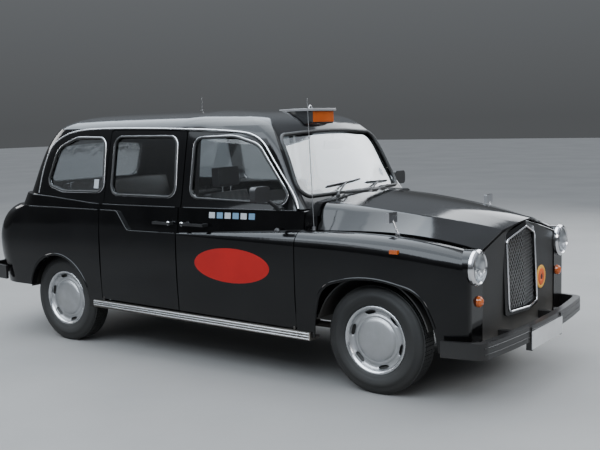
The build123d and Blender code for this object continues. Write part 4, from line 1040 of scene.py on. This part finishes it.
def make_door_buttons():
    """The chrome lock button at the end of each handle, and the black plug near the front door's hinges."""
    for label, side in SIDES:
        for body, x in HANDLE_BUTTONS:
            spot = (x, side * BUTTON_Y, BUTTON_Z)
            turned(f"{body}_button_{label}", BUTTON_PROFILE, spot, (0, side, 0), CHROME, f"{body}_{label}",
                   24)
        spot = side_point(surface_of("door_front_" + label), *HINGE_PLUG, side)
        turned("hinge_plug_" + label, PLUG_PROFILE, spot, (0, side, 0.25), PLASTIC, "front_door_" + label,
               24)


def make_mirror_glasses():
    for label, side in SIDES:
        soft_box("door_mirror_glass_" + label, (0.6975, side * 0.89 - 0.066, 1.17),
                 (0.7005, side * 0.89 + 0.066, 1.252), 0.0013, MIRROR, "front_door_" + label)
        soft_box("wing_mirror_glass_" + label, (1.5625, side * 0.702 - 0.043, 1.056),
                 (1.5645, side * 0.702 + 0.043, 1.108), 0.0009, MIRROR, "cab")


# The sill trim's two ends as x and lower and upper height, and each rib's and shade bead's share of the
# height
SILL_ENDS = [(-0.9, 0.334, 0.374), (1.066, 0.302, 0.35)]
SILL_RIB_AND_SHADE_SHARES = (0.14, 0.34, 0.5, 0.66, 0.86)
SILL_STEPS = 24


def make_sill_ribs():
    """Bright ribs along the sill trim, with thin black beads of painted shade in the grooves between them.
    """
    (x0, low0, top0), (x1, low1, top1) = SILL_ENDS
    sill = surface_of("sill_trims")
    for label, side in SIDES:
        for k, share in enumerate(SILL_RIB_AND_SHADE_SHARES):
            z0 = low0 + (top0 - low0) * share
            z1 = low1 + (top1 - low1) * share
            shares = [i / SILL_STEPS for i in range(SILL_STEPS + 1)]
            line = [(x0 + (x1 - x0) * t, z0 * (1 - t) + z1 * t) for t in shares]
            # Every second line is a thin black bead: painted shade in the groove between two ribs
            radius, material = ((0.0036, RIM_METAL), (0.0022, SEAL_AND_SHADE_BLACK))[k % 2]
            bead(f"sill_rib_{label}_{k}", side_line(sill, line, side, 0.0002), radius, material, "cab")


# Wheel arches: the front one's outline in millimetres, and the lowest places of the rolled lips on both
FRONT_ARCH = [(1094, 200, 0), (1106, 430, -0.4), (1165, 655, -0.4), (1490, 742, -0.55), (1830, 665, -0.4),
              (1922, 440, -0.4), (1944, 200, 0)]
FRONT_ARCH_CENTRE = Vector((1.5, 0.38))
REAR_ARCH_R = 0.346
LIP_R = 0.011
LIP_OUT = LIP_R * 0.8
LIP_SUNK = 0.004
LIP_LOW_Z = 0.44
LIP_LEAST_Y = 0.75


def make_arch_lips():
    """The rolled lip round the outside of each wheel arch."""
    outline = [Vector(p) for p in outline_of(FRONT_ARCH, 30)]
    front = [p + (p - FRONT_ARCH_CENTRE).normalized() * LIP_OUT for p in outline]
    front = [(x, z) for x, z in front if z > LIP_LOW_Z]
    angles = [math.radians(degrees) for degrees in range(20, 161, 5)]
    reach = REAR_ARCH_R + LIP_OUT
    rear = [(REAR_AXLE_X + reach * math.cos(a), HUB_Z + reach * math.sin(a)) for a in angles]
    for label, side in SIDES:
        for name, node, line in (("front", "front_wing_", front), ("rear", "rear_quarter_", rear)):
            points = side_line(surface_of(node + label), line, side, -LIP_SUNK)
            outer = [p for p in points if abs(p.y) > LIP_LEAST_Y]
            bead(f"{name}_arch_lip_{label}", outer, LIP_R, PAINT, "cab")


# The pressed creases of the sides in millimetres: the belt under the windows, and the swage that drops on
# the rear door. Each panel has its node, its body and its stretch of x
BELT_CREASE = [(-1640, 1144), (-1400, 1133), (-1100, 1112), (-800, 1095), (0, 1097), (950, 1099)]
SWAGE_CREASE = [
    (-2400, 1054, 0), (-634, 1054, 46), (-522, 916, 52), (-20, 919, 0), (-20, 200, 0), (-2400, 200, 0),
]
SWAGE_LOW = 0.9
CREASE_PANELS = [
    ("rear_quarter_", "cab", -1.64, -0.822), ("door_rear_", "rear_door_", -0.806, -0.048),
    ("door_front_", "front_door_", -0.032, 0.95),
]
CREASE_R = 0.0048


def make_creases():
    belt = in_metres(smooth_line(BELT_CREASE, 12))
    swage = [(x, z) for x, z in outline_of(SWAGE_CREASE, 30) if z > SWAGE_LOW]
    for label, side in SIDES:
        for node, body, x0, x1 in CREASE_PANELS:
            panel = surface_of(node + label)
            rider = body if body == "cab" else body + label
            for name, line in (("belt", belt), ("swage", swage)):
                points = side_line(panel, [(x, z) for x, z in line if x0 < x < x1], side, -0.001)
                if len(points) > 2:
                    bead(f"{node}{name}_crease_{label}", points, CREASE_R, PAINT, rider)


# The ribs moulded along the front bumper's face, clear of the plate's brackets
BUMPER_RIB_HEIGHTS = (0.342, 0.379)
BUMPER_RIB_HALF = 0.8
BUMPER_RIB_R = 0.0045
BRACKET_Y = 0.246
BRACKET_HALF = 0.03


def make_bumper_ribs():
    bar = surface_of("front_bumper")
    places = [BUMPER_RIB_HALF * (i / 20 - 1) for i in range(41)]
    for k, z in enumerate(BUMPER_RIB_HEIGHTS):
        line = [(y, z) for y in places if abs(abs(y) - BRACKET_Y) > BRACKET_HALF]
        bead(f"front_bumper_rib_{k}", end_line(bar, line, 1), BUMPER_RIB_R, BUMPER, "cab")


# Plates: each edge's name, x, lower and upper height, and body
PLATE_HALF = 0.2575
PLATE_EDGES = [
    ("front_plate_edge", 2.2835, 0.2665, 0.3725, "cab"),
    ("rear_plate_edge", -2.2262, 0.6425, 0.7485, "boot"),
]


def make_plate_frames():
    """The dark edge of each blank plate, and the boot lid's handle and plate lamp."""
    for name, x, low, high, body in PLATE_EDGES:
        line = rectangle(-PLATE_HALF, PLATE_HALF, low, high, 0.006, 4)
        bead(name, [Vector((x, y, z)) for y, z in line], 0.0014, PLASTIC, body, closed=True)
    x = end_point(surface_of("boot_lid"), 0, 0.8, -1).x
    soft_box("boot_handle", (x - 0.03, -0.095, 0.782), (x + 0.006, 0.095, 0.812), 0.01, CHROME,
             "boot")
    soft_box("plate_lamp", (x - 0.018, -0.06, 0.766), (x + 0.006, 0.06, 0.7815), 0.005, PLASTIC,
             "boot")


# The roof sign's hood in plan, as (x, y, radius) corners in metres
SIGN_HOOD = [(0.217, 0, 0.02), (0.47, -0.154, 0.13), (0.641, -0.16, 0.04), (0.67, 0, -0.5),
             (0.641, 0.16, 0.04), (0.47, 0.154, 0.13)]
SIGN_SHELL_Z = 1.7405
SIGN_SHELL_THICK = 0.0175


def make_sign_trim():
    """The pale shell over the roof sign's hood, and the small bright loop on it."""
    bm = bmesh.new()
    outline = filled_in(rounded(SIGN_HOOD, 8), 0.05)
    bm.faces.new([bm.verts.new((p.x, p.y, SIGN_SHELL_Z)) for p in outline])
    raised = bmesh.ops.extrude_face_region(bm, geom=bm.faces[:])["geom"]
    raised = [v for v in raised if isinstance(v, bmesh.types.BMVert)]
    bmesh.ops.translate(bm, vec=(0, 0, SIGN_SHELL_THICK), verts=raised)
    top = [e for e in bm.edges if all(v in raised for v in e.verts)]
    round_edges(bm, top, 0.004, 2)
    bmesh.ops.recalc_face_normals(bm, faces=bm.faces)
    new_piece("sign_hood_shell", bm, SIGN_GREY, "cab")
    angles = [math.pi * k / 12 for k in range(13)]
    loop = [Vector((0.512, 0.02 * math.cos(a), 1.756 + 0.026 * math.sin(a))) for a in angles]
    bead("sign_loop", loop, 0.0032, CHROME, "cab")


make_camera()
make_floor()
make_lights()
make_sky()
dress_frame()
make_window_trim()
make_drip_rails()
make_door_ovals()
make_grille()
make_grille_bead()
make_tyres()
make_wheel_covers()
make_headlamps()
make_seats()
make_wipers()
make_cowl_vent()
make_interior()
make_patches()
make_nose_disc()
make_door_buttons()
make_mirror_glasses()
make_sill_ribs()
make_arch_lips()
make_creases()
make_bumper_ribs()
make_plate_frames()
make_sign_trim()
